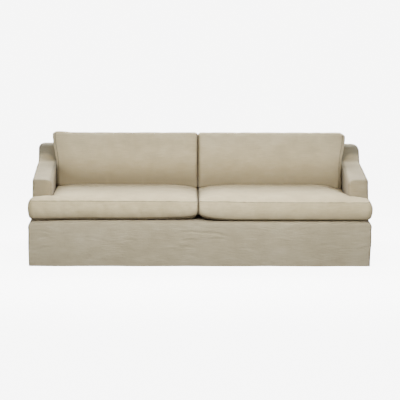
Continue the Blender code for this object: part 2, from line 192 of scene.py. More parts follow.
class SLIPCOVER_PG_stage(bpy.types.PropertyGroup):
    """Floor, lights and camera."""

    floor: tint("Floor", (0.90, 0.90, 0.895), "Colour of the plain floor")
    glow: amount("Floor glow", 8.2, "How brightly the lit studio floor shines")
    front: watts("Front light", 48.0, "Power of the long soft box in front")
    rear: watts("Rear light", 36.0, "Power of the long soft box behind")
    top: watts("Top light", 54.0, "Power of the long soft box over the back")
    side: watts("Side lights", 9.0, "Power of the soft box at each end")
    even: amount("Even light", 0.21, "Strength of the light from all round")


# ---- Shared shaping ------------------------------------------------------------------------------

SEED_TURNS = (1.0, 0.37, 1.71)          # where a seed moves the noise to, along each axis

# Puckers: where they are full, as a share of their reach, and their finer wave's share, length and seed
PUCKER_START = 0.35
PUCKER_FINE = 0.6
PUCKER_FINE_LONG = 0.45
PUCKER_FINE_SEED = 9.0

# Creases: the sag of their line, how fast they end, their depth at the tips, and the ridge beside each
CREASE_BOW = 0.06
CREASE_END = 40.0
CREASE_TIP = 0.25
RIDGE_HIGH = 0.45
RIDGE_APART = 1.9


def smooth_step(value, low, high):
    """0 below low, 1 above high, smooth between."""
    ratio = np.clip((value - low) / (high - low), 0.0, 1.0)
    return ratio * ratio * (3.0 - 2.0 * ratio)


def hump(value, rise, fall):
    """1 between two stretches (low, high) and 0 beyond them. It rises over one and falls over the other."""
    return smooth_step(value, *rise) * (1.0 - smooth_step(value, *fall))


def even_places(low, high, pitch):
    """Places between two ends, at an even pitch."""
    count = max(1, round((high - low) / pitch))
    return [low + (high - low) * step / count for step in range(1, count)]


def cut_across(shape, faces, axis, places, snap):
    """Cuts the faces by a plane at each place along one axis."""
    normal = Vector((0.0, 0.0, 0.0))
    normal[axis] = 1.0
    for place in places:
        edges = dict.fromkeys(edge for face in faces for edge in face.edges)
        points = dict.fromkeys(point for face in faces for point in face.verts)
        cut = bmesh.ops.bisect_plane(shape, geom=[*points, *edges, *faces], dist=snap,
                                     plane_co=normal * place, plane_no=normal)
        faces = [item for item in cut["geom"] if isinstance(item, bmesh.types.BMFace)]
    return faces


def applied(mesh, modifier_type, **settings):
    """The mesh with one modifier applied."""
    holder = bpy.data.objects.new("holder", mesh)
    bpy.context.scene.collection.objects.link(holder)
    modifier = holder.modifiers.new("shape", modifier_type)
    for key, value in settings.items():
        setattr(modifier, key, value)
    bpy.context.view_layer.update()
    graph = bpy.context.evaluated_depsgraph_get()
    result = bpy.data.meshes.new_from_object(holder.evaluated_get(graph))
    bpy.data.objects.remove(holder)
    bpy.data.meshes.remove(mesh)
    return result


def points_of(mesh):
    flat = np.empty(len(mesh.vertices) * 3, np.float32)
    mesh.vertices.foreach_get("co", flat)
    return flat.reshape(-1, 3).astype(float)


def normals_of(mesh):
    flat = np.empty(len(mesh.vertices) * 3, np.float32)
    mesh.vertex_normals.foreach_get("vector", flat)
    return flat.reshape(-1, 3).astype(float)


def set_points(mesh, points):
    mesh.vertices.foreach_set("co", points.astype(np.float32).ravel())
    mesh.update()


def mark(mesh, name, values):
    """Keeps a number on each point, for the finish to read."""
    layer = mesh.attributes.get(name) or mesh.attributes.new(name, "FLOAT", "POINT")
    layer.data.foreach_set("value", values.astype(np.float32))


def distance_to(points, sources):
    """Each point's distance to the nearest source point, and that source point."""
    tree = kdtree.KDTree(len(sources))
    for index, source in enumerate(sources):
        tree.insert(source, index)
    tree.balance()
    found = [tree.find(point) for point in points]
    return np.array([hit[2] for hit in found]), np.array([hit[0] for hit in found])


def waves(places, length, seed):
    """Smooth noise between -1 and 1, whose waves have about that length."""
    shift = Vector([seed * turn for turn in SEED_TURNS])
    return np.array([noise.noise(Vector(place) / length + shift) for place in places])


def puckers(points, normals, seams, height, reach, length, seed):
    """Small waves that start at a seam, run square to it and die out within their reach."""
    distance, nearest = distance_to(points, seams)
    near = np.exp(-distance / reach) * smooth_step(distance, 0.0, reach * PUCKER_START)
    wave = waves(nearest, length, seed)
    wave = wave + PUCKER_FINE * waves(nearest, length * PUCKER_FINE_LONG, seed + PUCKER_FINE_SEED)
    return normals * (height * near * wave)[:, None]


def creases(points, normals, across, rows):
    """Soft creases on a face. A row is start, end, half width and depth, and a ridge's depth is negative."""
    move = np.zeros(len(points))
    flat = points[:, across]
    for (start, end, width, depth) in rows:
        start, end = np.array(start), np.array(end)
        along = end - start
        length = np.linalg.norm(along)
        along = along / length
        offset = flat - start
        run = offset @ along / length
        bow = np.sin(np.clip(run, 0.0, 1.0) * math.pi)
        side = offset @ np.array((-along[1], along[0])) - CREASE_BOW * length * bow
        beyond = np.maximum(np.maximum(-run, run - 1.0), 0.0)
        taper = np.exp(-beyond ** 2 * CREASE_END) * (CREASE_TIP + (1.0 - CREASE_TIP) * bow)
        ridge = np.exp(-((side - RIDGE_APART * width) / width) ** 2)
        trough = np.exp(-(side / width) ** 2) - RIDGE_HIGH * ridge
        move -= depth * taper * trough
    return normals * move[:, None]


def lay_weave(mesh):
    """Maps the cloth flat in metres: the weft runs along each face's own length."""
    layer = mesh.uv_layers.get("weave") or mesh.uv_layers.new(name="weave")
    points = points_of(mesh)
    corner_points = np.empty(len(mesh.loops), np.int32)
    mesh.loops.foreach_get("vertex_index", corner_points)
    normals = np.empty(len(mesh.polygons) * 3, np.float32)
    mesh.polygons.foreach_get("normal", normals)
    counts = np.empty(len(mesh.polygons), np.int32)
    mesh.polygons.foreach_get("loop_total", counts)
    facing = np.abs(normals.reshape(-1, 3)).argmax(axis=1)
    facing = np.repeat(facing, counts)
    spots = points[corner_points]
    weft = np.where(facing == 0, spots[:, 1], spots[:, 0])
    warp = np.where(facing == 2, spots[:, 1], spots[:, 2])
    layer.data.foreach_set("uv", np.stack((weft, warp), axis=1).astype(np.float32).ravel())


def place_piece(mesh, node, name, finish):
    """Makes the finished piece, which stands for its plain solid."""
    mesh.transform(Matrix.Translation(FLOOR_ORIGIN))
    mesh.materials.clear()
    mesh.materials.append(finish)
    mesh.shade_smooth()
    piece = bpy.data.objects.new(name, mesh)
    bpy.context.scene.collection.objects.link(piece)
    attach(piece, "root")
    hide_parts(node)
    return piece


# ---- Body cover ----------------------------------------------------------------------------------

BODY_CELL = (0.026, 0.030, 0.013)
BODY_SNAP = 0.004           # a cut takes a point that lies this near
ROUND_STEPS = 4
SEAM_WIDE = 0.0019          # the strip of a panel that turns in at its seam
PUCKER_REACH = 0.030
PUCKER_LONG = 0.028
PANEL_SEED = 3.1            # sets each panel's puckers apart

# How much of a seam shows, in its depth and in the shade painted in it, where it is pressed flat, round the
# arms' fronts and at the hem, which only gets the painted shade
FLAT_SEAM = 0.22
ARM_SEAM = {-1: 0.50, 1: 0.22}
HEM_SEAM = 0.45
HEM_NEAR = 0.010
# How near a seam lies, in height and in depth, to the arms' join with the back, to the platform's front
# edge and to the arms' fronts
JOIN_NEAR = (0.03, 0.04)
EDGE_NEAR = (0.04, 0.02)
ARM_NEAR = (0.05, 0.08)

# Slack of the hanging cloth, as in the solids: a long and a short wave round the skirt, and one of the hem
SKIRT_FULL = 0.0040
SKIRT_WAVE = 0.0018
SKIRT_WAVE_LONG = 0.61
SKIRT_WAVE_SHORT = 0.27
SHORT_SHARE = 0.6
LONG_SHIFT = 0.8
HEM_WAVE = 0.0009
HEM_WAVE_HIGH = 0.15
HEM_SHIFT = 2.0

# How much further the sides stand out, and the heights or depths over which that starts or ends
LEFT_FULL = 0.0040
RIGHT_FULL = 0.0058
RIGHT_FULL_Z = (0.08, 0.20)
CORNER_FULL = {-1: 0.0040, 1: 0.0062}   # of the skirt's upper front corners
CORNER_Z = (0.262, 0.318)
CORNER_END = (0.322, 0.349)
WING_FULL = 0.0032          # of the left wing beside the back cushion
WING_RISE = 0.0060          # which also stands a little higher
WING_Y = (0.60, 0.72)
WING_RISE_X = (0.80, 1.05)

# How low the platform's front edge hangs: all along, under the right cushion and at the left end
EDGE_SAG = 0.0022
RIGHT_SAG = 0.0068
RIGHT_SAG_X = (-0.02, 0.10)
LEFT_END_SAG = 0.0065
LEFT_END_X = (-1.25, -0.85)
SAG_LOW_Z = 0.20
SAG_ABOVE = 0.06
SAG_END_Y = (0.08, 0.18)

# Unevenness of cloth that is pulled over a padded form: length, seed and height of its waves
BROAD_SLACK = (0.33, 3.0, 0.0018)
SMALL_SLACK = (0.11, 7.0, 0.0008)
SMALL_SQUEEZE = (0.45, 1.0, 1.6)
PLATFORM_SLACK = 0.3        # the share that the platform shows
PLATFORM_UP = 0.5
SQUARE_ON = 0.7             # a normal's share along an axis, from which a face counts as facing that way
FACE_ABOVE = 0.004

# Creases listed one by one: start (x, z), end (x, z), half width, depth. A negative depth is a ridge.
SKIRT_CREASES = (
    ((-1.22, 0.262), (-1.08, 0.250), 0.007, 0.0016),
    ((-1.19, 0.205), (-1.10, 0.226), 0.008, 0.0017),
    ((-1.20, 0.118), (-1.09, 0.148), 0.009, 0.0020),
    ((-1.02, 0.232), (-0.93, 0.250), 0.007, 0.0013),
    ((-0.88, 0.210), (-0.71, 0.196), 0.008, 0.0014),
    ((-0.72, 0.262), (-0.58, 0.258), 0.007, 0.0012),
    ((-0.56, 0.196), (-0.45, 0.190), 0.008, 0.0014),
    ((-0.52, 0.130), (-0.46, 0.104), 0.008, 0.0015),
    ((-0.30, 0.300), (-0.05, 0.292), 0.008, -0.0014),
    ((-0.26, 0.140), (-0.12, 0.134), 0.008, -0.0016),
    ((-0.17, 0.250), (0.07, 0.243), 0.008, 0.0030),
    ((-0.14, 0.192), (-0.01, 0.190), 0.008, 0.0026),
    ((-0.16, 0.146), (-0.06, 0.144), 0.008, 0.0027),
    ((-0.10, 0.082), (-0.02, 0.080), 0.008, 0.0021),
    ((0.02, 0.252), (0.20, 0.226), 0.009, 0.0032),
    ((0.06, 0.202), (0.22, 0.196), 0.008, 0.0022),
    ((-0.040, 0.318), (-0.012, 0.330), 0.010, -0.0045),
    ((0.31, 0.272), (0.46, 0.268), 0.007, 0.0012),
    ((0.31, 0.136), (0.40, 0.132), 0.008, 0.0014),
    ((0.55, 0.210), (0.66, 0.196), 0.008, -0.0012),
    ((0.71, 0.262), (0.79, 0.284), 0.008, 0.0017),
    ((0.86, 0.150), (1.00, 0.160), 0.009, 0.0014),
    ((0.98, 0.236), (1.10, 0.230), 0.008, 0.0013),
    ((1.14, 0.250), (1.23, 0.258), 0.008, 0.0015),
    ((1.15, 0.120), (1.24, 0.146), 0.009, 0.0020),
)
REAR_CREASES = (
    ((-1.19, 0.72), (-1.04, 0.42), 0.030, 0.0020),
    ((-0.88, 0.54), (-0.80, 0.16), 0.038, 0.0016),
    ((-0.45, 0.62), (-0.38, 0.26), 0.042, 0.0014),
    ((-0.02, 0.46), (-0.06, 0.10), 0.040, 0.0016),
    ((0.40, 0.66), (0.48, 0.34), 0.038, 0.0014),
    ((0.86, 0.46), (0.80, 0.10), 0.036, 0.0016),
    ((1.18, 0.72), (1.05, 0.44), 0.030, 0.0020),
    ((-0.62, 0.10), (-0.30, 0.13), 0.022, 0.0010),
    ((0.22, 0.20), (0.52, 0.17), 0.022, 0.0010),
)
# Start and end are (y, z) on the sides
SIDE_CREASES = (
    ((0.06, 0.300), (0.24, 0.352), 0.012, 0.0018),
    ((0.08, 0.200), (0.30, 0.236), 0.016, 0.0014),
    ((0.24, 0.560), (0.52, 0.490), 0.020, 0.0014),
    ((0.72, 0.640), (0.90, 0.560), 0.018, 0.0016),
    ((0.60, 0.340), (0.92, 0.270), 0.022, 0.0014),
    ((0.34, 0.140), (0.62, 0.110), 0.020, 0.0012),
)

# How much shade is painted into each panel's colour where the cushions shade it: on the platform under them,
# on the arms' fronts and on the arms' inner sides
PAINTED_SHADE = {"seat_deck": 0.79, "arm_front_left": 0.74, "arm_front_right": 0.46,
           "inside_arm_left": 0.10, "inside_arm_right": 0.24}
EDGE_PAINTED_SHADE = 0.45         # along the front edge, under the cushions' overhang
EDGE_PAINTED_SHADE_Z = (-0.038, -0.010)       # from the platform's height
DECK_PAINTED_SHADE_Y = (0.005, 0.022)
ARM_PAINTED_SHADE = 0.74          # on the arms' inner faces
ARM_PAINTED_SHADE_MORE = 0.14     # and how much more further back
ARM_PAINTED_SHADE_Y = (0.25, 0.55)
ARM_EDGE = 0.012            # how far the inner face's tone reaches onto the arm's top
ARM_EDGE_SOFT = 0.016

# How strongly the back cushions' shadow is painted on the corners beside them, on the wings and the arms'
# inner faces, and where that starts and ends
ARM_SHADED = 0.55
ARM_SHADED_Y = (0.34, 0.62)
WING_SHADED = 0.92
WING_SHADED_Y = (0.50, 0.60)
WING_TOP_Y = (0.004, 0.030)             # behind the edge of the back's top
WING_LOW_Z = 0.716          # where it starts at the arm's outer edge
WING_SOFT_Z = (-0.014, 0.022)
WING_DROP = 0.075           # how much lower it starts beside the cushion
WING_BEND = 2.5
WING_IN = 0.062
WING_ACROSS = 0.09
WING_PAST = 1.3


def side_corners(body):
    """The named corners of the side view, as (y, z)."""
    rise = (body.arm_back_z - body.deck_z) / (body.back_top_z - body.deck_z)
    return {
        "floor": (0.0, HEM_LIFT),
        "deck": (0.0, body.deck_z),
        "arm_foot": (body.arm_front_y, body.deck_z),
        "arm_top": (body.arm_front_y, body.arm_front_z),
        "arm_join": (body.back_foot_y + rise * (body.back_top_y - body.back_foot_y), body.arm_back_z),
        "back_foot": (body.back_foot_y, body.deck_z),
        "back_top": (body.back_top_y, body.back_top_z),
        "rear_top": (body.rear_top_y, body.rear_top_z),
        "rear_floor": (body.rear_floor_y, HEM_LIFT),
    }


def body_cage(body):
    """The cover's outside as a coarse cage: profiles drawn across three bays, then closed by its sides."""
    corners = side_corners(body)
    rails = (-body.half_width, -body.arm_inner_x, body.arm_inner_x, body.half_width)
    cage = bmesh.new()
    for bay, (profile, suffix) in enumerate(((ARM_BAY, "_left"), (SEAT_BAY, ""), (ARM_BAY, "_right"))):
        left, right = rails[bay], rails[bay + 1]
        for panel, start, end in profile:
            ends = [cage.verts.new((left, *corners[corner])) for corner in (start, end)]
            edge = cage.edges.new(ends)
            made = bmesh.ops.extrude_edge_only(cage, edges=[edge])["geom"]
            moved = [item for item in made if isinstance(item, bmesh.types.BMVert)]
            bmesh.ops.translate(cage, verts=moved, vec=(right - left, 0.0, 0.0))
            name = panel if panel in PANELS else panel + suffix
            for item in made:
                if isinstance(item, bmesh.types.BMFace):
                    item.material_index = PANELS.index(name)
    bmesh.ops.remove_doubles(cage, verts=cage.verts, dist=NEARLY)
    places = {(rail, corner): None for rail in range(4) for corner in corners}
    for point in cage.verts:
        rail = min(range(4), key=lambda index: abs(rails[index] - point.co.x))
        corner = min(corners, key=lambda name: (Vector(corners[name]) - point.co.yz).length)
        places[rail, corner] = point
    wall = ("floor", "rear_floor", "rear_top", "back_top", "arm_join", "arm_top", "arm_foot", "deck")
    inner = ("arm_foot", "arm_top", "arm_join", "back_foot")
    for outer_rail, inner_rail, side in ((0, 1, "left"), (3, 2, "right")):
        for rail, names, panel in ((outer_rail, wall, "outside_arm_"), (inner_rail, inner, "inside_arm_")):
            made = cage.faces.new([places[rail, name] for name in names])
            made.material_index = PANELS.index(panel + side)
    bmesh.ops.recalc_face_normals(cage, faces=cage.faces)
    weigh_edges(cage, places)
    return cage


def weigh_edges(cage, places):
    """Gives each edge that is rounded its radius, as a share of the largest."""
    weights = cage.edges.layers.float.new("bevel_weight_edge")

    def rounded(radius, first, second):
        edge = cage.edges.get((first, second)) if first and second else None
        if edge:
            edge[weights] = radius / LARGEST_R

    for corner, radius in ROUND_ACROSS.items():
        for rail in range(3):
            at_seat = rail == 1 and corner.startswith("arm")
            if not at_seat:
                rounded(radius, places[rail, corner], places[rail + 1, corner])
    for rails, radii in (((1, 2), ROUND_INNER), ((0, 3), ROUND_WALL)):
        for rail in rails:
            for (start, end), radius in radii.items():
                softer = RIGHT_SOFTER if rail == 3 and end in ("arm_top", "arm_join", "rear_top") else 1.0
                rounded(radius * softer, places[rail, start], places[rail, end])


def edge_sag(x):
    """How low the platform's front edge and the cushions' rolled edges hang."""
    return (EDGE_SAG + RIGHT_SAG * smooth_step(x, *RIGHT_SAG_X)
            + LEFT_END_SAG * (1.0 - smooth_step(x, *LEFT_END_X)))


def arm_sway(body, y):
    """How far the arms sit to the right at a depth."""
    depth = np.clip((y - body.arm_front_y) / (body.back_top_y - body.arm_front_y), 0.0, 1.0)
    return body.arm_sway + (body.arm_sway_back - body.arm_sway) * depth


def lean(body, z):
    """The share of its width that the cover has at a height."""
    return 1.0 - body.lean_in * (z / body.back_top_z) ** 2


def hang(points, body):
    """Where the points of the straight form lie once the cloth leans in and hangs with some slack."""
    x, y, z = points.T
    seam_z = bpy.context.scene.slipcover_cushions.seat_seam_z
    x = x * lean(body, z)
    x = x + smooth_step(z, body.deck_z, seam_z) * arm_sway(body, y)
    outer = smooth_step(np.abs(x), body.arm_inner_x, body.half_width)
    x = x + np.sign(x) * outer * SKIRT_FULL * np.sin(math.pi * np.minimum(z / seam_z, 1.0))

    wing = smooth_step(z, body.arm_back_z, body.rear_top_z) * smooth_step(y, *WING_Y)
    left = LEFT_FULL * smooth_step(z, body.deck_z, body.arm_front_z) + WING_FULL * wing
    right = RIGHT_FULL * smooth_step(z, *RIGHT_FULL_Z)
    z = z + WING_RISE * wing * smooth_step(-x, *WING_RISE_X)
    ahead = 1.0 - smooth_step(y, *SAG_END_Y)
    corner = ahead * hump(z, CORNER_Z, CORNER_END)
    low = hump(z, (SAG_LOW_Z, body.deck_z), (body.deck_z, body.deck_z + SAG_ABOVE))
    z = z - edge_sag(x) * low * ahead
    x = x + outer * np.where(x > 0.0, right + CORNER_FULL[1] * corner, -left - CORNER_FULL[-1] * corner)

    round_deck = ROUND_ACROSS["deck"]
    facing_y = np.where(y < round_deck, -1.0, np.where(y > body.back_top_y, 1.0, 0.0))
    facing_x = np.where(facing_y == 0.0, np.sign(x), 0.0)
    turn = math.tau * (x + y)
    wave = np.sin(turn / SKIRT_WAVE_LONG + LONG_SHIFT) + SHORT_SHARE * np.sin(turn / SKIRT_WAVE_SHORT)
    loose = SKIRT_WAVE * wave * (1.0 - smooth_step(z, HEM_LIFT, body.deck_z - round_deck))
    hem = 1.0 - smooth_step(z, HEM_LIFT, HEM_LIFT + HEM_WAVE_HIGH)
    rise = HEM_WAVE * (1.0 + np.sin(turn / SKIRT_WAVE_LONG + HEM_SHIFT)) * hem
    return np.stack((x + facing_x * loose, y + facing_y * loose, z + rise), axis=1)


def crease_body(points, normals, body):
    """How far the creases of the hanging cloth move its points."""
    facing = np.abs(normals) > SQUARE_ON
    front = facing[:, 1] & (points[:, 1] < body.arm_front_y / 2)
    rear = facing[:, 1] & (points[:, 1] > body.back_top_y)
    side = facing[:, 0] & (np.abs(points[:, 0]) > (body.arm_inner_x + body.half_width) / 2)
    move = np.zeros_like(points)
    for chosen, across, rows in ((front, [0, 2], SKIRT_CREASES), (rear, [0, 2], REAR_CREASES),
                                 (side, [1, 2], SIDE_CREASES)):
        move[chosen] += creases(points[chosen], normals[chosen], across, rows)
    return move


def slack_body(points, normals, body):
    """Broad unevenness of cloth that is pulled over a padded form."""
    long, seed, height = BROAD_SLACK
    slack = waves(points, long, seed) * height
    long, seed, height = SMALL_SLACK
    slack = slack + waves(points * SMALL_SQUEEZE, long, seed) * height
    platform = (points[:, 2] < body.deck_z + FACE_ABOVE) & (normals[:, 2] > PLATFORM_UP)
    return normals * np.where(platform, PLATFORM_SLACK * slack, slack)[:, None]


def body_form(body):
    """The whole outside of the cover, rounded, hanging and creased. A face's material index is its panel."""
    kept = bpy.data.meshes.get("body_form")
    if kept:
        return kept
    cage = body_cage(body)
    mesh = bpy.data.meshes.new("body_cage")
    cage.to_mesh(mesh)
    cage.free()
    mesh = applied(mesh, "BEVEL", limit_method="WEIGHT", width=LARGEST_R, segments=ROUND_STEPS,
                   profile=0.5, use_clamp_overlap=True, loop_slide=False)
    form = bmesh.new()
    form.from_mesh(mesh)
    form.normal_update()
    for face in form.faces:
        if face.normal.z > 1.0 - NEARLY and abs(face.calc_center_median().z - body.deck_z) < NEARLY:
            face.material_index = PANELS.index("seat_deck")
    limits = ((-body.half_width, body.half_width), (0.0, body.rear_floor_y), (HEM_LIFT, body.back_top_z))
    for axis, (low, high) in enumerate(limits):
        places = even_places(low, high, BODY_CELL[axis])
        cut_across(form, form.faces[:], axis, places, BODY_SNAP)
    form.to_mesh(mesh)
    form.free()
    mesh = applied(mesh, "SUBSURF", subdivision_type="CATMULL_CLARK", levels=1, render_levels=1)
    mesh.name = "body_form"
    set_points(mesh, hang(points_of(mesh), body))
    points, normals = points_of(mesh), normals_of(mesh)
    points += crease_body(points, normals, body) + slack_body(points, normals, body)
    set_points(mesh, points)
    return mesh


def seam_shown(place, body):
    """How much of a panel's seam shows at a place."""
    if place.z > body.deck_z + ARM_NEAR[0] and place.y < body.arm_front_y + ARM_NEAR[1]:
        return ARM_SEAM[-1 if place.x < 0.0 else 1]
    at_join = abs(place.z - body.arm_back_z) < JOIN_NEAR[0] and place.y > body.back_foot_y - JOIN_NEAR[1]
    at_edge = abs(place.z - body.deck_z) < EDGE_NEAR[0] and place.y < ROUND_ACROSS["deck"] + EDGE_NEAR[1]
    return FLAT_SEAM if at_join or at_edge else 1.0


def panel_mesh(form_mesh, node, body):
    """One sewn panel: its seams sunk and puckered, its edge closed by the cloth's thickness."""
    panel = bmesh.new()
    panel.from_mesh(form_mesh)
    panel.normal_update()
    seam = panel.verts.layers.float.new("seam")
    inward = panel.verts.layers.float_vector.new("inward")
    for point in panel.verts:
        point[inward] = -body.cloth * min(point.calc_shell_factor(), 1.0) * point.normal
    others = [face for face in panel.faces if face.material_index != PANELS.index(node)]
    bmesh.ops.delete(panel, geom=others, context="FACES")
    bmesh.ops.inset_region(panel, faces=panel.faces, thickness=SEAM_WIDE, use_boundary=True)
    seams, hems = set(), set()
    for edge in panel.edges:
        if edge.is_boundary:
            at_hem = max(point.co.z for point in edge.verts) < HEM_LIFT + HEM_NEAR
            (hems if at_hem else seams).update(edge.verts)
    sewn = [point.co.copy() for point in seams]
    positions = np.array([point.co for point in panel.verts])
    normals = np.array([point.normal for point in panel.verts])
    shift = puckers(positions, normals, sewn, body.pucker, PUCKER_REACH, PUCKER_LONG,
                    PANELS.index(node) * PANEL_SEED)
    for point, move in zip(panel.verts, shift):
        point.co += Vector(move)
    for point in seams:
        point[seam] = seam_shown(point.co, body)
        point.co += point[inward].normalized() * body.seam_sink * point[seam]
    # painted shade along the hem
    for point in hems:
        point[seam] = HEM_SEAM
    made = bmesh.ops.extrude_face_region(panel, geom=panel.faces[:])["geom"]
    for point in made:
        if isinstance(point, bmesh.types.BMVert):
            point.co += point[inward]
    bmesh.ops.recalc_face_normals(panel, faces=panel.faces)
    mesh = bpy.data.meshes.new(node + "_cloth")
    panel.to_mesh(mesh)
    panel.free()
    mesh.attributes.remove(mesh.attributes["inward"])
    return mesh


def panel_tones(points, node, body):
    """How much painted shade, and how much of the back cushions' painted shadow, each point of a panel has.
    """
    x, y, z = points.T
    kept = np.full(len(points), PAINTED_SHADE.get(node, 0.0))
    shaded = np.zeros(len(points))
    # painted shade along the platform's front edge, under the cushions' overhang
    edge = EDGE_PAINTED_SHADE * smooth_step(z - body.deck_z, *EDGE_PAINTED_SHADE_Z)
    if node == "seat_deck":
        kept = edge + (kept - edge) * smooth_step(y, *DECK_PAINTED_SHADE_Y)
    if node == "front_skirt":
        kept = kept + edge
    # painted shadow of the back cushions on the wings beside them
    if node.startswith("inside"):
        inward = np.clip((body.half_width - WING_IN - np.abs(x)) / WING_ACROSS, 0.0, WING_PAST)
        start = WING_LOW_Z - WING_DROP * inward ** WING_BEND
        shaded = WING_SHADED * smooth_step(z - start, *WING_SOFT_Z)
        shaded = shaded * hump(y, WING_SHADED_Y, [body.back_top_y + behind for behind in WING_TOP_Y])
    # painted shade on the arms' inner faces, and painted shadow of the back cushions towards the back
    if node.startswith("inside_arm"):
        inner = smooth_step(body.arm_inner_x + ARM_EDGE - np.abs(x), 0.0, ARM_EDGE_SOFT)
        kept = kept + inner * (ARM_PAINTED_SHADE + ARM_PAINTED_SHADE_MORE * smooth_step(y, *ARM_PAINTED_SHADE_Y))
        shaded = np.maximum(shaded, ARM_SHADED * inner * smooth_step(y, *ARM_SHADED_Y))
    return kept, shaded


def sew_panels(context, kinds):
    """Makes the panels of these kinds, each a sheet of linen."""
    body = context.scene.slipcover_body
    form = body_form(body)
    for node in PANELS:
        kind = next((kind for kind in kinds if node.startswith(kind)), None)
        if kind is None:
            continue
        mesh = panel_mesh(form, node, body)
        lay_weave(mesh)
        kept, shaded = panel_tones(points_of(mesh), node, body)
        # the painted shade and the painted shadow go into the panel's colour
        mark(mesh, "unfaded", kept)
        mark(mesh, "shaded", shaded)
        piece = place_piece(mesh, node, node + "_cloth", linen("body_linen", context))


# ---- Filled cushions -----------------------------------------------------------------------------

SIDES = (("left", -1), ("right", 1))
SPLIT_GAP = 0.006           # from the middle of a gap to the cushion's seams
CORNER_R = 0.034
SMALL_CORNER_R = 0.014
TIGHTEST_R = 0.0035
CORNER_STEPS = 5
CUSHION_CELL = 0.022
CUSHION_SNAP = 0.004
SEAM_FOOT = 0.026           # height of the lower seam
SEAM_BAND = 0.0045          # the strip of cloth on each side of a seam
SEAM_NEAR = 0.0005
LIP_HIGH = 0.018
LIP_INSET = 0.20            # of the foot's inset
SIDE_ROWS = 7
START_FULL = 0.75           # share of its crown that a cushion has before it is filled
CROWN_REACH = 0.28
CROWN_POWER = 2.4
JOINED_FLAT = math.radians(20)
JOINED_SKEW = math.radians(40)
FACING_UP = 0.6             # a normal's rise, from which a point counts as the upper face's
FACE_CAP = 0.012            # how far a point of the face may move while the cushion is filled
BOXING_CAP = {"seat": 0.004, "back": 0.0012}
SEAM_SINK = 0.0035
PUCKERS = {"seat": 0.0019, "back": 0.0012}
CUSHION_PUCKER_REACH = 0.040
CUSHION_PUCKER_LONG = 0.026
CUSHION_SEED = 1.7
REST_GAP = 0.0005
ARM_CLEAR = 0.003
SPLIT_SHADE = 0.004         # how far the painted shade in the gaps reaches onto the faces
FILLING = {
    "quality": 6,
    "mass": 0.35,
    "air_damping": 2.0,
    "tension_stiffness": 18.0,
    "compression_stiffness": 14.0,
    "shear_stiffness": 8.0,
    "bending_stiffness": 0.6,
    "use_pressure": True,
    "shrink_min": -0.018,
}
LAST_FRAME = 20             # of the filling

# Creases on the cushions' faces: start, end, half width and depth, in each cushion's own flat view. For a
# seat cushion that is (x, y), and for a back cushion x and the height along its lean.
CREASES = {
    "seat": {
        -1: (
            ((-0.96, 0.060), (-0.70, 0.075), 0.016, 0.0022),
            ((-0.60, 0.230), (-0.28, 0.200), 0.020, 0.0024),
            ((-0.20, 0.120), (-0.06, 0.200), 0.016, 0.0026),
            ((-1.02, 0.260), (-0.84, 0.360), 0.018, 0.0026),
        ),
        1: (
            ((0.06, 0.160), (0.22, 0.110), 0.016, 0.0028),
            ((0.36, 0.240), (0.66, 0.260), 0.020, 0.0024),
            ((0.72, 0.090), (1.02, 0.070), 0.016, 0.0022),
            ((0.86, 0.360), (1.03, 0.270), 0.018, 0.0030),
        ),
    },
    "back": {
        -1: (
            ((-0.99, 0.245), (-0.93, 0.250), 0.008, 0.0024),
            ((-1.01, 0.130), (-0.95, 0.150), 0.010, 0.0024),
            ((-0.73, 0.150), (-0.69, 0.152), 0.008, 0.0024),
            ((-0.50, 0.090), (-0.30, 0.080), 0.016, 0.0020),
            ((-0.12, 0.060), (-0.05, 0.150), 0.014, 0.0026),
            ((-0.80, 0.330), (-0.56, 0.345), 0.014, 0.0016),
        ),
        1: (
            ((0.00, 0.158), (0.04, 0.157), 0.006, 0.0030),
            ((0.00, 0.138), (0.05, 0.136), 0.006, 0.0034),
            ((0.00, 0.118), (0.04, 0.114), 0.006, 0.0026),
            ((0.07, 0.134), (0.13, 0.131), 0.007, 0.0028),
            ((0.24, 0.068), (0.28, 0.066), 0.009, 0.0026),
            ((0.60, 0.120), (0.78, 0.135), 0.014, 0.0018),
            ((0.93, 0.080), (1.03, 0.170), 0.014, 0.0028),
            ((0.30, 0.335), (0.55, 0.345), 0.014, 0.0016),
        ),
    },
}


def rounded_outline(corners, inset=0.0):
    """The points of an outline, drawn in evenly. Each right-angled corner (x, y, radius) is an arc."""
    points = []
    places = [Vector((x, y)) for x, y, _ in corners]
    for index, corner in enumerate(places):
        back = (places[index - 1] - corner).normalized()
        ahead = (places[(index + 1) % len(places)] - corner).normalized()
        turn = 1.0 if ahead.x * back.y - ahead.y * back.x > 0 else -1.0
        radius = max(corners[index][2] - turn * inset, TIGHTEST_R)
        corner = corner + turn * inset * (back + ahead)
        centre = corner + (back + ahead) * radius
        for step in range(CORNER_STEPS + 1):
            angle = math.pi / 2 * step / CORNER_STEPS
            points.append(centre - radius * (ahead * math.cos(angle) + back * math.sin(angle)))
    return points


def edge_distance(flat, corners):
    """Each point's distance to the nearest stretch of an outline of corners (x, y, radius)."""
    nearest = np.full(len(flat), np.inf)
    ends = [np.array(corner[:2]) for corner in corners]
    for start, end in zip(ends, [*ends[1:], ends[0]]):
        along = end - start
        ratio = np.clip((flat - start) @ along / (along @ along), 0.0, 1.0)
        nearest = np.minimum(nearest, np.linalg.norm(flat - start - ratio[:, None] * along, axis=1))
    return nearest


def crown_height(distance, crown):
    ratio = np.minimum(distance / CROWN_REACH, 1.0)
    return crown * (1.0 - (1.0 - ratio) ** CROWN_POWER)


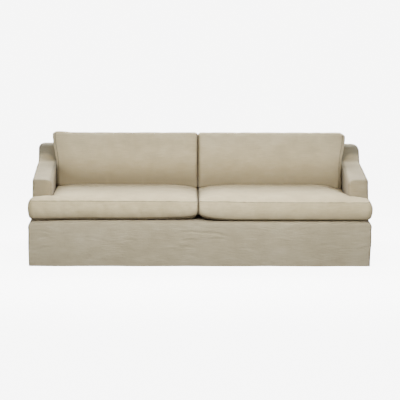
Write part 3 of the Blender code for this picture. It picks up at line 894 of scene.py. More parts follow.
def filled_form(corners, crown_corners, height, crown, bulge, foot_inset):
    """A cushion's cover lying at z = 0: foot, lip, lower seam, boxing, upper seam and crowned face.

    Gives the mesh and, for each point, which seam it lies on: 1 for the upper one, 2 for the lower.
    """
    shape = bmesh.new()
    place = shape.verts.layers.int.new("place")
    outline = rounded_outline(corners)
    lip = rounded_outline(corners, foot_inset * LIP_INSET)
    foot = [shape.verts.new((*point, 0.0)) for point in rounded_outline(corners, foot_inset)]
    for index, point in enumerate(foot):
        point[place] = index
    bottom = shape.faces.new(foot)
    border = list(bottom.edges)
    rise = height - SEAM_FOOT
    middle = [SEAM_FOOT + rise * row / SIDE_ROWS for row in range(1, SIDE_ROWS)]
    for level in (LIP_HIGH, SEAM_FOOT, SEAM_FOOT + SEAM_BAND, *middle, height - SEAM_BAND, height):
        made = bmesh.ops.extrude_edge_only(shape, edges=border)["geom"]
        border = [item for item in made if isinstance(item, bmesh.types.BMEdge) and item.is_boundary]
        for point in made:
            if isinstance(point, bmesh.types.BMVert):
                ring = lip if level == LIP_HIGH else outline
                point.co = (*ring[point[place]], level)
    top = bmesh.ops.edgeloop_fill(shape, edges=border)["faces"]
    bmesh.ops.inset_region(shape, faces=top, thickness=SEAM_BAND, use_even_offset=True)
    bmesh.ops.inset_region(shape, faces=[bottom], thickness=SEAM_BAND, use_even_offset=True)
    bmesh.ops.recalc_face_normals(shape, faces=shape.faces)
    for axis in (0, 1):
        ends = [corner[axis] for corner in corners]
        cut_across(shape, shape.faces[:], axis, even_places(min(ends), max(ends), CUSHION_CELL), CUSHION_SNAP)
    bmesh.ops.triangulate(shape, faces=[face for face in shape.faces if len(face.verts) > 4])
    bmesh.ops.join_triangles(shape, faces=[face for face in shape.faces if len(face.verts) == 3],
                             angle_face_threshold=JOINED_FLAT, angle_shape_threshold=JOINED_SKEW)
    shape.normal_update()
    mesh = bpy.data.meshes.new("filled_form")
    shape.to_mesh(mesh)
    shape.free()
    mesh.attributes.remove(mesh.attributes["place"])
    points, normals = points_of(mesh), normals_of(mesh)
    z = points[:, 2].copy()
    on_top = z > height - NEARLY
    boxing = (z > SEAM_FOOT + NEARLY) & ~on_top
    seam = np.where(on_top & (edge_distance(points[:, :2], outline) < SEAM_NEAR), 1.0, 0.0)
    seam[np.abs(z - SEAM_FOOT) < NEARLY] = 2.0
    points[on_top, 2] += crown_height(edge_distance(points[on_top, :2], crown_corners), crown)
    out = normals[boxing] * (1.0, 1.0, 0.0)
    out /= np.maximum(np.linalg.norm(out, axis=1), NEARLY)[:, None]
    points[boxing] += out * (bulge * np.sin(math.pi * (z[boxing] - SEAM_FOOT) / rise))[:, None]
    set_points(mesh, points)
    return mesh, seam


def beside_gap(x, split_x):
    """1 on the boxing that faces the gap between two cushions, and falling off beside it, where shade is
    painted in the gap.
    """
    return np.exp(-np.maximum(np.abs(x - split_x) - SPLIT_GAP, 0.0) / SPLIT_SHADE)


def arm_face(body, y, z, side):
    """How far out a cushion may reach at points (y, z) before it would touch the arm's inner face."""
    return body.arm_inner_x * lean(body, z) + side * arm_sway(body, y) - ARM_CLEAR


def plumped(piece, pinned, cap, pressure):
    """Lets pressure fill the cover while its seams stay sewn. No point moves further than its cap."""
    before = points_of(piece.data)
    group = piece.vertex_groups.new(name="sewn")
    group.add([int(index) for index in np.flatnonzero(pinned)], 1.0, "REPLACE")
    filling = piece.modifiers.new("filling", "CLOTH")
    cloth = filling.settings
    for name, value in FILLING.items():
        setattr(cloth, name, value)
    cloth.uniform_pressure_force = pressure
    cloth.effector_weights.gravity = 0.0
    cloth.vertex_group_mass = group.name
    filling.collision_settings.use_collision = False
    scene = bpy.context.scene
    for step in range(1, LAST_FRAME + 1):
        scene.frame_set(step)
    graph = bpy.context.evaluated_depsgraph_get()
    filled = bpy.data.meshes.new_from_object(piece.evaluated_get(graph))
    move = points_of(filled) - before
    bpy.data.meshes.remove(filled)
    piece.modifiers.remove(filling)
    piece.vertex_groups.remove(group)
    scene.frame_set(1)
    far = np.linalg.norm(move, axis=1)
    move *= (cap * np.tanh(far / cap) / np.maximum(far, NEARLY))[:, None]
    return before + move


def fill_cushion(context, kind, end, side, cover, fit, unfaded):
    """Creases and fills one cushion's cover, fits it among its neighbours and finishes it."""
    body, sizes = context.scene.slipcover_body, context.scene.slipcover_cushions
    node, slot = f"{kind}_cushion_{end}", kind + "_linen"
    mesh, seam = cover
    points, normals = points_of(mesh), normals_of(mesh)
    on_face = normals[:, 2] > FACING_UP
    points[on_face] += creases(points[on_face], normals[on_face], [0, 1], CREASES[kind][side])
    set_points(mesh, points)
    pinned = (points[:, 2] < SEAM_FOOT + NEARLY) | (seam > 0)
    cap = np.where(normals_of(mesh)[:, 2] > FACING_UP, FACE_CAP, BOXING_CAP[kind])
    holder = bpy.data.objects.new(node + "_filling", mesh)
    context.scene.collection.objects.link(holder)
    set_points(mesh, plumped(holder, pinned, cap, sizes.pressure))
    bpy.data.objects.remove(holder)
    points, normals = points_of(mesh), normals_of(mesh)
    points += puckers(points, normals, points[seam > 0], PUCKERS[kind], CUSHION_PUCKER_REACH,
                      CUSHION_PUCKER_LONG, len(node) * CUSHION_SEED)
    points[seam > 0] -= normals[seam > 0] * SEAM_SINK
    set_points(mesh, points)
    # the seam mark carries painted shade along the seams
    mark(mesh, "seam", (seam > 0).astype(float))
    # paint shade into the cushion's colour where shade falls on it
    mark(mesh, "unfaded", unfaded(points_of(mesh), side, sizes, body))
    set_points(mesh, fit(points_of(mesh), side, sizes, body))
    lay_weave(mesh)
    piece = place_piece(mesh, node, node + "_filled", linen(slot, context))
    finer = piece.modifiers.new("finer", "SUBSURF")
    finer.levels = 1
    finer.render_levels = 1


# ---- Seat cushions -------------------------------------------------------------------------------

SEAT_BULGE = 0.009
SEAT_FOOT_INSET = 0.052
NOTCH_R = 0.048
# How far beyond its own edges the outline lies that the crown rises from: behind, at the arms, in the notch
REAR_REACH = 0.20
ARM_REACH = {-1: 0.045, 1: 0.004}
NOTCH_REACH = {-1: 0.090, 1: 0.170}

TOUCH_GAP = 0.0022          # from the middle of the gap to the cushion's side
SEAT_CORNER_LIFT = 0.029    # how far the lower corners beside the gap are drawn up
SEAT_LIFT_REACH = 0.047
SEAT_LIFT_HIGH = 0.75
SEAT_WAVE = 0.0015
SEAT_WAVE_LONG = 0.28
SEAT_WAVE_DEEP = 0.3
SEAT_SEED = 5.0
SEAT_DROP = 0.017           # how much the right cushion falls away into its inner rear corner
SEAT_DROP_X = (0.93, 1.08)
SEAT_DROP_Y = (0.28, 0.50)
SEAT_LEVEL_Y = 0.50         # behind this the face lies flat under the back cushions

# The front edge sinks towards the right, while the seam along it stands up, less so at the right
SEAT_SAG = 0.0055
SEAT_SAG_X = (-1.0, 1.0)
SEAT_SAG_Y = (0.02, 0.354)
SEAT_SAG_FOOT_Y = 0.05
LIP_RISE = 0.0062
LIP_RISE_LESS = 0.0042
LIP_RISE_X = (0.10, 0.42)
LIP_RISE_Y = (0.01, 0.194)

# The rolled lower edge in front hangs further down than the platform's edge, less so beside the gap
ROLL_SAG = {-1: 0.0076, 1: 0.0078}
ROLL_SAG_X = {-1: (-0.05, -0.50), 1: (0.03, 0.25)}
ROLL_Z = (0.002, 0.014)
ROLL_END_Z = (0.030, 0.100)
ROLL_END_Y = (0.030, 0.080)

# The ends ahead of the arms sag outward below the upper seam, and turn in again at the foot
END_X = (1.10, 1.20)
END_FULL = {-1: 0.0010, 1: 0.0075}
END_FULL_FROM = 0.6         # of the seam's height
END_TUCK = {-1: 0.0045, 1: 0.0075}
END_TUCK_Z = (-0.012, 0.042)

# Where shade is painted on a seat cushion: low down, and towards the back, and where that rises and falls
SEAT_PAINTED_SHADE_Z = (0.0, 0.090)
SEAT_PAINTED_SHADE = 0.62
SEAT_PAINTED_SHADE_Y = (0.08, 0.44)
SEAT_PAINTED_SHADE_END = (0.45, 0.56)
SEAT_PAINTED_SHADE_FROM_Z = 0.08


def seat_corners(sizes, side, back_y, ease=0.0, beyond=0.0):
    """L-shaped: the front runs the full width ahead of the arm."""
    notch = sizes.seat_notch_y + beyond
    split = sizes.seat_split_x + side * SPLIT_GAP
    wing = side * (sizes.seat_wing_left if side < 0 else sizes.seat_wing_right)
    inner = side * ((sizes.seat_inner_left if side < 0 else sizes.seat_inner_right) + ease)
    corners = [
        (split, sizes.seat_front_y, SMALL_CORNER_R),
        (wing, sizes.seat_front_y, CORNER_R),
        (wing, notch, CORNER_R),
        (inner, notch, NOTCH_R),
        (inner, back_y, CORNER_R),
        (split, back_y, SMALL_CORNER_R),
    ]
    return corners[::side]


def seat_reach(sizes, side):
    """The outline that a seat cushion's crown rises from: it lies beyond the seams that press on the arm."""
    return seat_corners(sizes, side, sizes.seat_back_y + REAR_REACH, ARM_REACH[side], NOTCH_REACH[side])


def seat_drop(x, y):
    return SEAT_DROP * smooth_step(x, *SEAT_DROP_X) * smooth_step(y, *SEAT_DROP_Y)


def seat_top(flat, sizes):
    """Height of the seat cushions' upper face at points (x, y)."""
    left, right = (crown_height(edge_distance(flat, seat_reach(sizes, side)), sizes.seat_crown)
                   for _, side in SIDES)
    crown = np.where(flat[:, 0] > sizes.seat_split_x, right, left)
    return sizes.seat_seam_z + crown - seat_drop(*flat.T)


def sagged_seat(x, y, z, side, height, sizes):
    """Heights of a seat cushion's points once its corner is drawn up and its front edge sags."""
    near = np.hypot(x - sizes.seat_split_x, y - sizes.seat_front_y)
    low = 1.0 - smooth_step(z, 0.0, height * SEAT_LIFT_HIGH)
    z = np.maximum(z, 0.0) + SEAT_CORNER_LIFT * low * np.exp(-near / SEAT_LIFT_REACH)
    full = np.clip(z / height, 0.0, 1.0)
    spots = np.stack((x, y * SEAT_WAVE_DEEP, 0.0 * x), axis=1)
    z = z + SEAT_WAVE * full * waves(spots, SEAT_WAVE_LONG, side * SEAT_SEED)
    z = z - full * seat_drop(x, y)
    behind = y - sizes.seat_front_y
    sinking = SEAT_SAG * smooth_step(x, *SEAT_SAG_X) * (1.0 - smooth_step(behind, *SEAT_SAG_Y))
    z = z - sinking * np.maximum(full, 1.0 - y / SEAT_SAG_FOOT_Y)
    rise = LIP_RISE - LIP_RISE_LESS * smooth_step(x, *LIP_RISE_X)
    z = z + full * rise * (1.0 - smooth_step(behind, *LIP_RISE_Y))
    rolled = hump(z, ROLL_Z, ROLL_END_Z) * (1.0 - smooth_step(y, *ROLL_END_Y))
    return z - rolled * (edge_sag(x) + ROLL_SAG[side] * smooth_step(x, *ROLL_SAG_X[side]))


def fit_seat(points, side, sizes, body):
    """Where a filled seat cushion's points lie on the platform, between the other cushion and the arm."""
    x, y, z = points.T
    height = sizes.seat_seam_z - body.deck_z
    inner_x = sizes.seat_split_x + side * TOUCH_GAP
    x = np.where(side * (x - inner_x) < 0.0, inner_x, x)
    z = sagged_seat(x, y, z, side, height, sizes)
    at_end = smooth_step(side * x, *END_X)
    x = x + side * END_FULL[side] * (1.0 - smooth_step(z, END_FULL_FROM * height, height)) * at_end
    x = x - side * END_TUCK[side] * (1.0 - smooth_step(z, *END_TUCK_Z)) * smooth_step(side * x, *END_X)
    z = z + body.deck_z + REST_GAP
    level = seat_top(np.stack((x, y), axis=1), sizes)
    z = np.where(y > SEAT_LEVEL_Y, np.minimum(z, level), z)
    bend = ROUND_INNER["arm_foot", "arm_top"]
    turn = np.clip(bend - (y - body.arm_front_y), 0.0, bend)
    face = arm_face(body, y, z, side) + bend - np.sqrt(bend ** 2 - turn ** 2)
    x = np.where(y > body.arm_front_y, side * np.minimum(side * x, face), x)
    y = np.where(side * x > face, np.minimum(y, body.arm_front_y - ARM_CLEAR), y)
    return np.stack((x, y, z), axis=1)


def seat_painted_shade(points, side, sizes, body):
    """How much painted shade each point of a seat cushion has."""
    x, y, z = points.T
    low = 1.0 - smooth_step(z, *SEAT_PAINTED_SHADE_Z)
    rear = SEAT_PAINTED_SHADE * hump(y, SEAT_PAINTED_SHADE_Y, SEAT_PAINTED_SHADE_END)
    rear = rear * smooth_step(z, SEAT_PAINTED_SHADE_FROM_Z, sizes.seat_seam_z - body.deck_z)
    return np.clip(low + rear + beside_gap(x, sizes.seat_split_x), 0.0, 1.0)


# ---- Back cushions -------------------------------------------------------------------------------

BACK_BULGE = 0.011
BACK_FOOT_INSET = 0.026
SPLIT_CORNER_R = 0.020
TOP_CORNER_R = {-1: SMALL_CORNER_R, 1: 0.026}

BACK_GAP = 0.0010           # from the middle of the gap to the cushion's side
SPLIT_BEND = 0.0020         # the cushions press on each other along a slightly bent face
SEAT_CLEAR = 0.0008
UNDERSIDE_HIGH = 0.16       # the stretch above the foot that comes down onto the seat
BACK_TUCK = 0.042           # how far the front leans back towards its foot
BACK_TUCK_HIGH = 0.22
CORNER_RISE = 0.008         # of the left cushion's outer top corner
CORNER_RISE_FROM = 0.20
CORNER_RISE_X = (0.03, 0.13)

# The arms press the cushions' ends in below their top, and the boxing stands out beyond the front seam
BACK_SQUEEZE = 0.0240
SQUEEZE_Z = (0.660, 0.890)
BACK_END_FULL = {-1: 0.95, 1: 1.20}
FREE_Z = (0.655, 0.800)
FREE_END_X = 1.128

# Where shade is painted on a back cushion: low down, and in the lower corner beside the arm
BACK_PAINTED_SHADE_Z = (-0.03, 0.27)
BACK_PAINTED_SHADE_BEND = 0.8
BACK_PAINTED_SHADE = {-1: 1.25, 1: 1.0}
END_PAINTED_SHADE = {-1: 0.7, 1: 0.1}
END_PAINTED_SHADE_REACH = 0.06
END_PAINTED_SHADE_Z = (0.1, 0.2)


def back_edge(sizes, side):
    """Where the outer end of a back cushion's front seam lies."""
    return side * (sizes.back_edge_left if side < 0 else sizes.back_edge_right)


def back_corners(sizes, side):
    """The outline of a back cushion's face, lying flat."""
    split = sizes.back_split_x + side * SPLIT_GAP
    edge = back_edge(sizes, side)
    corners = [
        (split, 0.0, SMALL_CORNER_R),
        (edge, 0.0, SMALL_CORNER_R),
        (edge, sizes.back_high, TOP_CORNER_R[side]),
        (split, sizes.back_high, SPLIT_CORNER_R),
    ]
    return corners[::side]


def fit_back(points, side, sizes, body):
    """Where a filled back cushion's points lie once it leans on the back and stands on the seat."""
    edge = back_edge(sizes, side)
    points = np.maximum(points, (-np.inf, -np.inf, 0.0))
    tuck = BACK_TUCK * (1.0 - smooth_step(points[:, 1], 0.0, BACK_TUCK_HIGH))
    points[:, 2] -= tuck * points[:, 2] / sizes.back_thick
    if side < 0:
        high = smooth_step(points[:, 1], CORNER_RISE_FROM, sizes.back_high)
        points[:, 1] += CORNER_RISE * high * (1.0 - smooth_step(points[:, 0] - edge, *CORNER_RISE_X))

    slant = math.atan2(body.back_top_y - body.back_foot_y, body.back_top_z - body.deck_z)
    start = body.back_foot_y + (sizes.back_low_z - body.deck_z) * math.tan(slant)
    off = Vector((0.0, -math.cos(slant), math.sin(slant))) * REST_GAP
    upright = Matrix.Rotation(math.radians(90.0) - slant, 4, "X")
    place = np.array(Matrix.Translation(Vector((0.0, start, sizes.back_low_z)) + off) @ upright)
    x, y, z = (points @ place[:3, :3].T + place[:3, 3]).T

    turn = math.tau * (points[:, 2] - SEAM_FOOT) / (sizes.back_thick - SEAM_FOOT)
    split = sizes.back_split_x + side * BACK_GAP + SPLIT_BEND * np.sin(turn)
    x = np.where(side * (x - split) < 0.0, split, x)
    held = BACK_SQUEEZE * (1.0 - smooth_step(z, *SQUEEZE_Z))
    out = side * x * (1.0 - held * smooth_step((x - sizes.back_split_x) / edge, 0.0, 1.0))
    seam_x = side * edge * (1.0 - held)
    out = np.where(out > seam_x, seam_x + (out - seam_x) * (1.0 + BACK_END_FULL[side]), out)
    face = arm_face(body, y, z, side)
    x = side * np.minimum(out, face + (FREE_END_X - face) * smooth_step(z, *FREE_Z))

    level = seat_top(np.stack((x, y), axis=1), sizes) + SEAT_CLEAR
    above = z - points[:, 1] * math.cos(slant) - level
    z = z - np.maximum(above, 0.0) * (1.0 - smooth_step(points[:, 1], 0.0, UNDERSIDE_HIGH))
    return np.stack((x, y, np.maximum(z, level)), axis=1)


def back_painted_shade(points, side, sizes, body):
    """How much painted shade each point of a back cushion has."""
    x, y, _ = points.T
    low = 1.0 - smooth_step(y, *BACK_PAINTED_SHADE_Z) ** BACK_PAINTED_SHADE_BEND
    end = END_PAINTED_SHADE[side] * np.exp(side * (x - back_edge(sizes, side)) / END_PAINTED_SHADE_REACH)
    end = end * (1.0 - smooth_step(y, *END_PAINTED_SHADE_Z))
    return np.clip(low * BACK_PAINTED_SHADE[side] + end + beside_gap(x, sizes.back_split_x), 0.0, 1.0)


# ---- Linen ---------------------------------------------------------------------------------------

class Wire:
    """One output of a node. Sums, differences and products of wires add the maths nodes."""

    def __init__(self, finish, socket):
        self.finish = finish
        self.socket = socket

    def maths(self, operation, *values):
        return self.finish.node("ShaderNodeMath", {"operation": operation}, dict(enumerate(values)))

    def __add__(self, other):
        return self.maths("ADD", self, other)

    def __radd__(self, other):
        return self.maths("ADD", other, self)

    def __sub__(self, other):
        return self.maths("SUBTRACT", self, other)

    def __rsub__(self, other):
        return self.maths("SUBTRACT", other, self)

    def __mul__(self, other):
        return self.maths("MULTIPLY", self, other)

    def __rmul__(self, other):
        return self.maths("MULTIPLY", other, self)

    def sine(self):
        return self.maths("SINE", self)

    def span(self, low, high):
        """0 below low, 1 above high, smooth between."""
        return self.finish.node("ShaderNodeMapRange", {"interpolation_type": "SMOOTHSTEP"},
                                {"Value": self, "From Min": low, "From Max": high})


class Finish:
    """A material, built node by node."""

    def __init__(self, name):
        self.material = bpy.data.materials.new(name)
        self.material.use_nodes = True
        self.tree = self.material.node_tree
        self.shader = self.tree.nodes["Principled BSDF"]

    def node(self, kind, settings=None, inputs=None, output=0):
        """Adds a node: its settings first, then the values or links of its sockets."""
        made = self.tree.nodes.new(kind)
        for key, value in (settings or {}).items():
            setattr(made, key, value)
        for key, value in (inputs or {}).items():
            self.join(value, made.inputs[key])
        return Wire(self, made.outputs[output])

    def join(self, value, socket):
        if isinstance(value, Wire):
            self.tree.links.new(value.socket, socket)
        else:
            socket.default_value = value

    def mixed(self, factor, first, second):
        """Two colours mixed by a factor."""
        return self.node("ShaderNodeMix", {"data_type": "RGBA"},
                         {0: factor, 6: colour(first), 7: colour(second)}, output=2)

    def vector(self, operation, first, second):
        return self.node("ShaderNodeVectorMath", {"operation": operation}, {0: first, 1: second})

    def noise(self, place, scale, detail=2.0, rough=0.5):
        """Smooth noise around 0.5, at a scale for each direction."""
        stretched = self.vector("MULTIPLY", place, scale)
        return self.node("ShaderNodeTexNoise", None,
                         {"Vector": stretched, "Scale": 1.0, "Detail": detail, "Roughness": rough})

    def attribute(self, name):
        """The number that mark() keeps on the points."""
        return self.node("ShaderNodeAttribute", {"attribute_name": name}, None, output=2)


def colour(value):
    return value if isinstance(value, Wire) else (*value, 1.0)


# How each slot's cloth has washed out against the flax colour, by channel, and how crinkled it is
WASHES = {
    "body_linen": ((1.0, 1.0, 1.0), 1.0),
    "seat_linen": ((1.265, 1.225, 1.085), 0.25),
    "back_linen": ((1.175, 1.16, 1.115), 0.32),
}

# How many of the finer slubs and of the warp's own come on each long one, along the weft and across it
FINE_SLUBS = (3.1, 2.4)
WARP_SLUBS = (0.8, 1.4)
# How often the uneven patches come in a metre of the body, along each axis
PATCHES = (2.6, 2.6, 4.2)
MOTTLES = (10.0, 10.0, 17.0)
RUMPLES = (3.1, 3.1, 7.0)
SWAYS = (3.0, 6.0, 1.0)
CRINKLE_SWAY = 0.10

# What each kind of unevenness does to the tone: how much it counts, and the stretch of its noise
PALER = {
    "long_slub": (0.40, (0.50, 0.74)),
    "fine_slub": (0.28, (0.52, 0.76)),
    "mottle": (0.34, (0.48, 0.72)),
    "patch": (0.34, (0.46, 0.72)),
}
DARKER = {
    "long_slub": (0.48, (0.28, 0.48)),
    "warp_slub": (0.26, (0.28, 0.46)),
    "mottle": (0.40, (0.30, 0.54)),
    "patch": (0.38, (0.30, 0.54)),
}
# painted highlight on the crinkles' crests and painted shade in their troughs: how much each counts, and the
# stretch of its noise
CRINKLE_PALER = (0.30, (0.52, 0.72))
CRINKLE_DARKER = (0.45, (0.30, 0.47))
RUMPLED = (0.40, 0.60)      # the stretch of its noise over which the cloth gets crinkled
LEAST_RUMPLED = 0.25
DARK_SHARE = 0.62
THREAD_SHARE = 0.10
# painted shade in the seams: how much it counts, and the stretch of the seam mark over which it comes in
SEAM_SHARE = 0.85
SEAM_SPAN = (0.05, 0.80)

# Heights of the relief in metres, and how rough and sheeny the cloth is
RELIEF = {"long_slub": 0.0009, "fine_slub": 0.0005, "warp_slub": 0.0004, "mottle": 0.0020}
THREAD_HIGH = 0.00022
CRINKLE_HIGH = 0.0036
RELIEF_SHARE = 0.75
ROUGH = 0.86
ROUGHER = 0.10
SMOOTHER = 0.05
SURFACE = {"Metallic": 0.0, "Specular IOR Level": 0.25, "Sheen Weight": 0.12, "Sheen Roughness": 0.55}


def linen(slot, context):
    """Slubbed plain-woven linen, washed. The tone of each slot differs a little, as washed pieces do."""
    made = bpy.data.materials.get("woven_" + slot)
    if made:
        return made
    cloth = context.scene.slipcover_linen
    wash, crinkled = WASHES[slot]
    flax, pale_thread, dark_thread = (
        tuple(part * share for part, share in zip(shade, wash))
        for shade in (cloth.flax, cloth.pale_thread, cloth.dark_thread))
    finish = Finish("woven_" + slot)
    weave = finish.node("ShaderNodeUVMap", {"uv_map": "weave"})
    body = finish.node("ShaderNodeTexCoord", output=3)
    along, across = 1.0 / cloth.slub_long, 1.0 / cloth.slub_thin
    uneven = {
        "long_slub": finish.noise(weave, (along, across, 1.0), rough=0.55),
        "fine_slub": finish.noise(weave, (FINE_SLUBS[0] * along, FINE_SLUBS[1] * across, 1.0), rough=0.6),
        "warp_slub": finish.noise(weave, (WARP_SLUBS[1] * across, WARP_SLUBS[0] * along, 1.0)),
        "patch": finish.noise(body, PATCHES, detail=3.0),
        "mottle": finish.noise(body, MOTTLES, detail=3.0, rough=0.6),
    }
    threads = [finish.node("ShaderNodeSeparateXYZ", None, {0: weave}, output=axis) for axis in (0, 1)]
    weft, warp = ((place * (math.tau / cloth.thread)).sine() for place in threads)
    over_under = weft * warp
    sway = finish.node("ShaderNodeCombineXYZ", None, {1: CRINKLE_SWAY * finish.noise(weave, SWAYS)})
    crinkle = finish.noise(finish.vector("ADD", weave, sway),
                           (1.0 / cloth.crinkle_long, 1.0 / cloth.crinkle_wide, 1.0), detail=3.0, rough=0.6)
    rumpled = finish.noise(body, RUMPLES).span(*RUMPLED)
    rumpled = crinkled * (LEAST_RUMPLED + (1.0 - LEAST_RUMPLED) * rumpled)

    # paler crinkle crests and darker troughs are painted highlight and painted shade; the slubs, mottles and
    # patches are the cloth's own tone
    share, stretch = CRINKLE_PALER
    pale = share * rumpled * crinkle.span(*stretch)
    for kind, (share, stretch) in PALER.items():
        pale = pale + share * uneven[kind].span(*stretch)
    share, stretch = CRINKLE_DARKER
    dark = share * rumpled * (1.0 - crinkle.span(*stretch))
    for kind, (share, stretch) in DARKER.items():
        dark = dark + share * (1.0 - uneven[kind].span(*stretch))
    tone = flax
    # over the cloth's own tone come the painted shade, the back cushions' painted shadow and the painted
    # shade of the seams
    for factor, shade in ((pale, pale_thread),
                          (dark * DARK_SHARE, dark_thread),
                          (over_under.span(-1.0, 1.0) * THREAD_SHARE, dark_thread),
                          (finish.attribute("unfaded"), cloth.unfaded),
                          (finish.attribute("shaded"), cloth.shaded),
                          (finish.attribute("seam").span(*SEAM_SPAN) * SEAM_SHARE, cloth.seam_shade)):
        tone = finish.mixed(factor, tone, shade)
    relief = THREAD_HIGH * over_under + CRINKLE_HIGH * rumpled * crinkle
    for kind, high in RELIEF.items():
        relief = relief + high * uneven[kind]
    bump = finish.node("ShaderNodeBump", None, {"Strength": RELIEF_SHARE, "Distance": 1.0, "Height": relief})
    rough = ROUGH + ROUGHER * uneven["mottle"] - SMOOTHER * uneven["long_slub"]
    for name, value in {"Base Color": tone, "Roughness": rough, "Normal": bump, **SURFACE}.items():
        finish.join(value, finish.shader.inputs[name])
    return finish.material


# ---- Operators -----------------------------------------------------------------------------------

class SLIPCOVER_OT_skirt(bpy.types.Operator):
    """Sew the front panel that hangs from the seat to the floor"""

    bl_idname = "slipcover.skirt"
    bl_label = "Front Skirt"

    def execute(self, context):
        sew_panels(context, ("front_skirt",))
        return {"FINISHED"}


class SLIPCOVER_OT_middle(bpy.types.Operator):
    """Sew the platform, the inside back and the outside back"""

    bl_idname = "slipcover.middle"
    bl_label = "Platform and Back"

    def execute(self, context):
        sew_panels(context, ("seat_deck", "inside_back", "outside_back"))
        return {"FINISHED"}


class SLIPCOVER_OT_arms(bpy.types.Operator):
    """Sew the inside, front and outside panels of both arms"""

    bl_idname = "slipcover.arms"
    bl_label = "Arms"

    def execute(self, context):
        sew_panels(context, ("inside_arm", "arm_front", "outside_arm"))
        return {"FINISHED"}


class SLIPCOVER_OT_seat_cushions(bpy.types.Operator):
    """Fill the two notched seat cushions"""

    bl_idname = "slipcover.seat_cushions"
    bl_label = "Seat Cushions"

    def execute(self, context):
        sizes = context.scene.slipcover_cushions
        height = sizes.seat_seam_z - context.scene.slipcover_body.deck_z
        for end, side in SIDES:
            cover = filled_form(seat_corners(sizes, side, sizes.seat_back_y), seat_reach(sizes, side), height,
                                sizes.seat_crown * START_FULL, SEAT_BULGE, SEAT_FOOT_INSET)
            fill_cushion(context, "seat", end, side, cover, fit_seat, seat_painted_shade)
        return {"FINISHED"}


class SLIPCOVER_OT_back_cushions(bpy.types.Operator):
    """Fill the two boxed back cushions"""

    bl_idname = "slipcover.back_cushions"
    bl_label = "Back Cushions"

    def execute(self, context):
        sizes = context.scene.slipcover_cushions
        for end, side in SIDES:
            corners = back_corners(sizes, side)
            cover = filled_form(corners, corners, sizes.back_thick, sizes.back_crown * START_FULL, BACK_BULGE,
                                BACK_FOOT_INSET)
            fill_cushion(context, "back", end, side, cover, fit_back, back_painted_shade)
        return {"FINISHED"}


# ---- Stage ---------------------------------------------------------------------------------------

# The camera's place and aim, and its focal length in pixels of the photograph
CAMERA_FROM = Vector((-0.08, -12.0, 2.627))
CAMERA_AIM = Vector((0.002, 0.0, 0.4966))
CAMERA_ROLL = math.radians(0.15)
FOCAL_PIXELS = 1674
PHOTO_PIXELS = 400
SENSOR = 36.0
FLOOR_REACH = 140.0

FLOOR_SURFACE = {"Roughness": 0.95, "Specular IOR Level": 0.0}
FLOOR_CLOUDS = (0.4, 0.4, 0.4)          # per metre
FLOOR_CLOUDY = 0.02
CLOUD_GREY = (0.8, 0.8, 0.8)
EVEN_WHITE = (1.0, 1.0, 1.0)

# Soft boxes: name, the setting that holds their power, place, what they face, width and depth
BOXES = (
    ("front_light", "front", (0.0, -1.0, 1.2), (0.0, 0.1, 0.3), 3.6, 0.5),
    ("rear_light", "rear", (0.0, 1.2, 1.7), (0.0, 0.3, 0.5), 3.6, 0.5),
    ("top_light", "top", (0.0, 1.2, 2.2), (0.0, 0.5, 0.5), 3.6, 0.8),
    ("left_light", "side", (-3.0, 1.0, 0.9), (-1.25, 0.5, 0.4), 1.2, 0.8),
    ("right_light", "side", (3.0, 1.0, 0.9), (1.25, 0.5, 0.4), 1.2, 0.8),
)


def turned_to(place, aim):
    """How a light or camera at a place is turned to face its aim."""
    return (aim - place).to_track_quat("-Z", "Y")


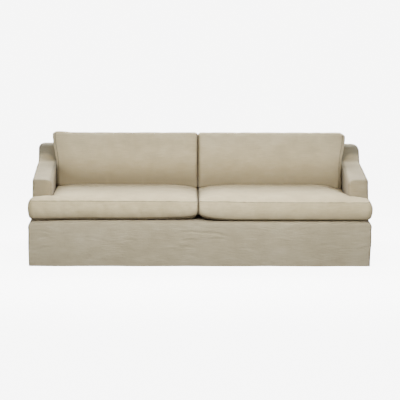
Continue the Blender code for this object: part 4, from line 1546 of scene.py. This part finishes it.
class SLIPCOVER_OT_stage(bpy.types.Operator):
    """Lay a plain pale floor, set soft light and stand the camera in front"""

    bl_idname = "slipcover.stage"
    bl_label = "Stage"

    def execute(self, context):
        stage = context.scene.slipcover_stage
        plane = bmesh.new()
        bmesh.ops.create_grid(plane, x_segments=1, y_segments=1, size=FLOOR_REACH / 2)
        mesh = bpy.data.meshes.new("studio_floor")
        plane.to_mesh(mesh)
        plane.free()
        mesh.transform(Matrix.Translation(Vector((0.0, 0.0, FLOOR_ORIGIN.z))))
        floor = bpy.data.objects.new("studio_floor", mesh)
        context.scene.collection.objects.link(floor)
        finish = Finish("studio_floor")
        clouds = finish.noise(finish.node("ShaderNodeTexCoord", output=3), FLOOR_CLOUDS)
        tone = finish.mixed(clouds * FLOOR_CLOUDY, stage.floor, CLOUD_GREY)
        for name, value in {"Base Color": tone, "Emission Color": colour(stage.floor),
                            "Emission Strength": stage.glow, **FLOOR_SURFACE}.items():
            finish.join(value, finish.shader.inputs[name])
        mesh.materials.append(finish.material)
        floor.visible_diffuse = False
        floor.visible_glossy = False

        world = bpy.data.worlds.new("studio_light")
        world.use_nodes = True
        surroundings = world.node_tree.nodes["Background"]
        surroundings.inputs["Color"].default_value = colour(EVEN_WHITE)
        surroundings.inputs["Strength"].default_value = stage.even
        context.scene.world = world
        for name, setting, place, aim, wide, deep in BOXES:
            box = bpy.data.lights.new(name, "AREA")
            box.shape = "RECTANGLE"
            box.size = wide
            box.size_y = deep
            box.energy = getattr(stage, setting)
            holder = bpy.data.objects.new(name, box)
            holder.location = Vector(place) + FLOOR_ORIGIN
            holder.rotation_euler = turned_to(Vector(place), Vector(aim)).to_euler()
            holder.visible_camera = False
            context.scene.collection.objects.link(holder)

        lens = bpy.data.cameras.new("photo_camera")
        lens.sensor_width = SENSOR
        lens.lens = FOCAL_PIXELS / PHOTO_PIXELS * SENSOR
        lens.clip_end = FLOOR_REACH * 2
        camera = bpy.data.objects.new("photo_camera", lens)
        camera.location = CAMERA_FROM + FLOOR_ORIGIN
        level = turned_to(CAMERA_FROM, CAMERA_AIM).to_matrix()
        camera.rotation_euler = (level @ Matrix.Rotation(CAMERA_ROLL, 3, "Z")).to_euler()
        context.scene.collection.objects.link(camera)
        context.scene.camera = camera
        return {"FINISHED"}


# ---- Panel and registration ----------------------------------------------------------------------

class SLIPCOVER_PT_panel(bpy.types.Panel):
    """The slipcover's steps and sizes"""

    bl_idname = "SLIPCOVER_PT_panel"
    bl_label = "Slipcover"
    bl_space_type = "VIEW_3D"
    bl_region_type = "UI"
    bl_category = "Slipcover"

    def draw(self, context):
        for operator in OPERATORS:
            self.layout.operator(operator.bl_idname)
        for group in SETTINGS:
            box = self.layout.box()
            values = getattr(context.scene, group)
            for name in values.bl_rna.properties.keys():
                if name not in {"rna_type", "name"}:
                    box.prop(values, name)


OPERATORS = (
    SLIPCOVER_OT_stage, SLIPCOVER_OT_skirt, SLIPCOVER_OT_middle, SLIPCOVER_OT_arms,
    SLIPCOVER_OT_seat_cushions, SLIPCOVER_OT_back_cushions,
)
SETTINGS = {
    "slipcover_body": SLIPCOVER_PG_body,
    "slipcover_cushions": SLIPCOVER_PG_cushions,
    "slipcover_linen": SLIPCOVER_PG_linen,
    "slipcover_stage": SLIPCOVER_PG_stage,
}


def register():
    for group in SETTINGS.values():
        bpy.utils.register_class(group)
    for name, group in SETTINGS.items():
        setattr(bpy.types.Scene, name, PointerProperty(type=group))
    for kind in (*OPERATORS, SLIPCOVER_PT_panel):
        bpy.utils.register_class(kind)


def unregister():
    for kind in reversed((*OPERATORS, SLIPCOVER_PT_panel)):
        bpy.utils.unregister_class(kind)
    for name in SETTINGS:
        delattr(bpy.types.Scene, name)
    for group in reversed(list(SETTINGS.values())):
        bpy.utils.unregister_class(group)


def main():
    register()
    for operator in OPERATORS:
        family, name = operator.bl_idname.split(".")
        getattr(getattr(bpy.ops, family), name)()


if __name__ == "__main__":
    main()
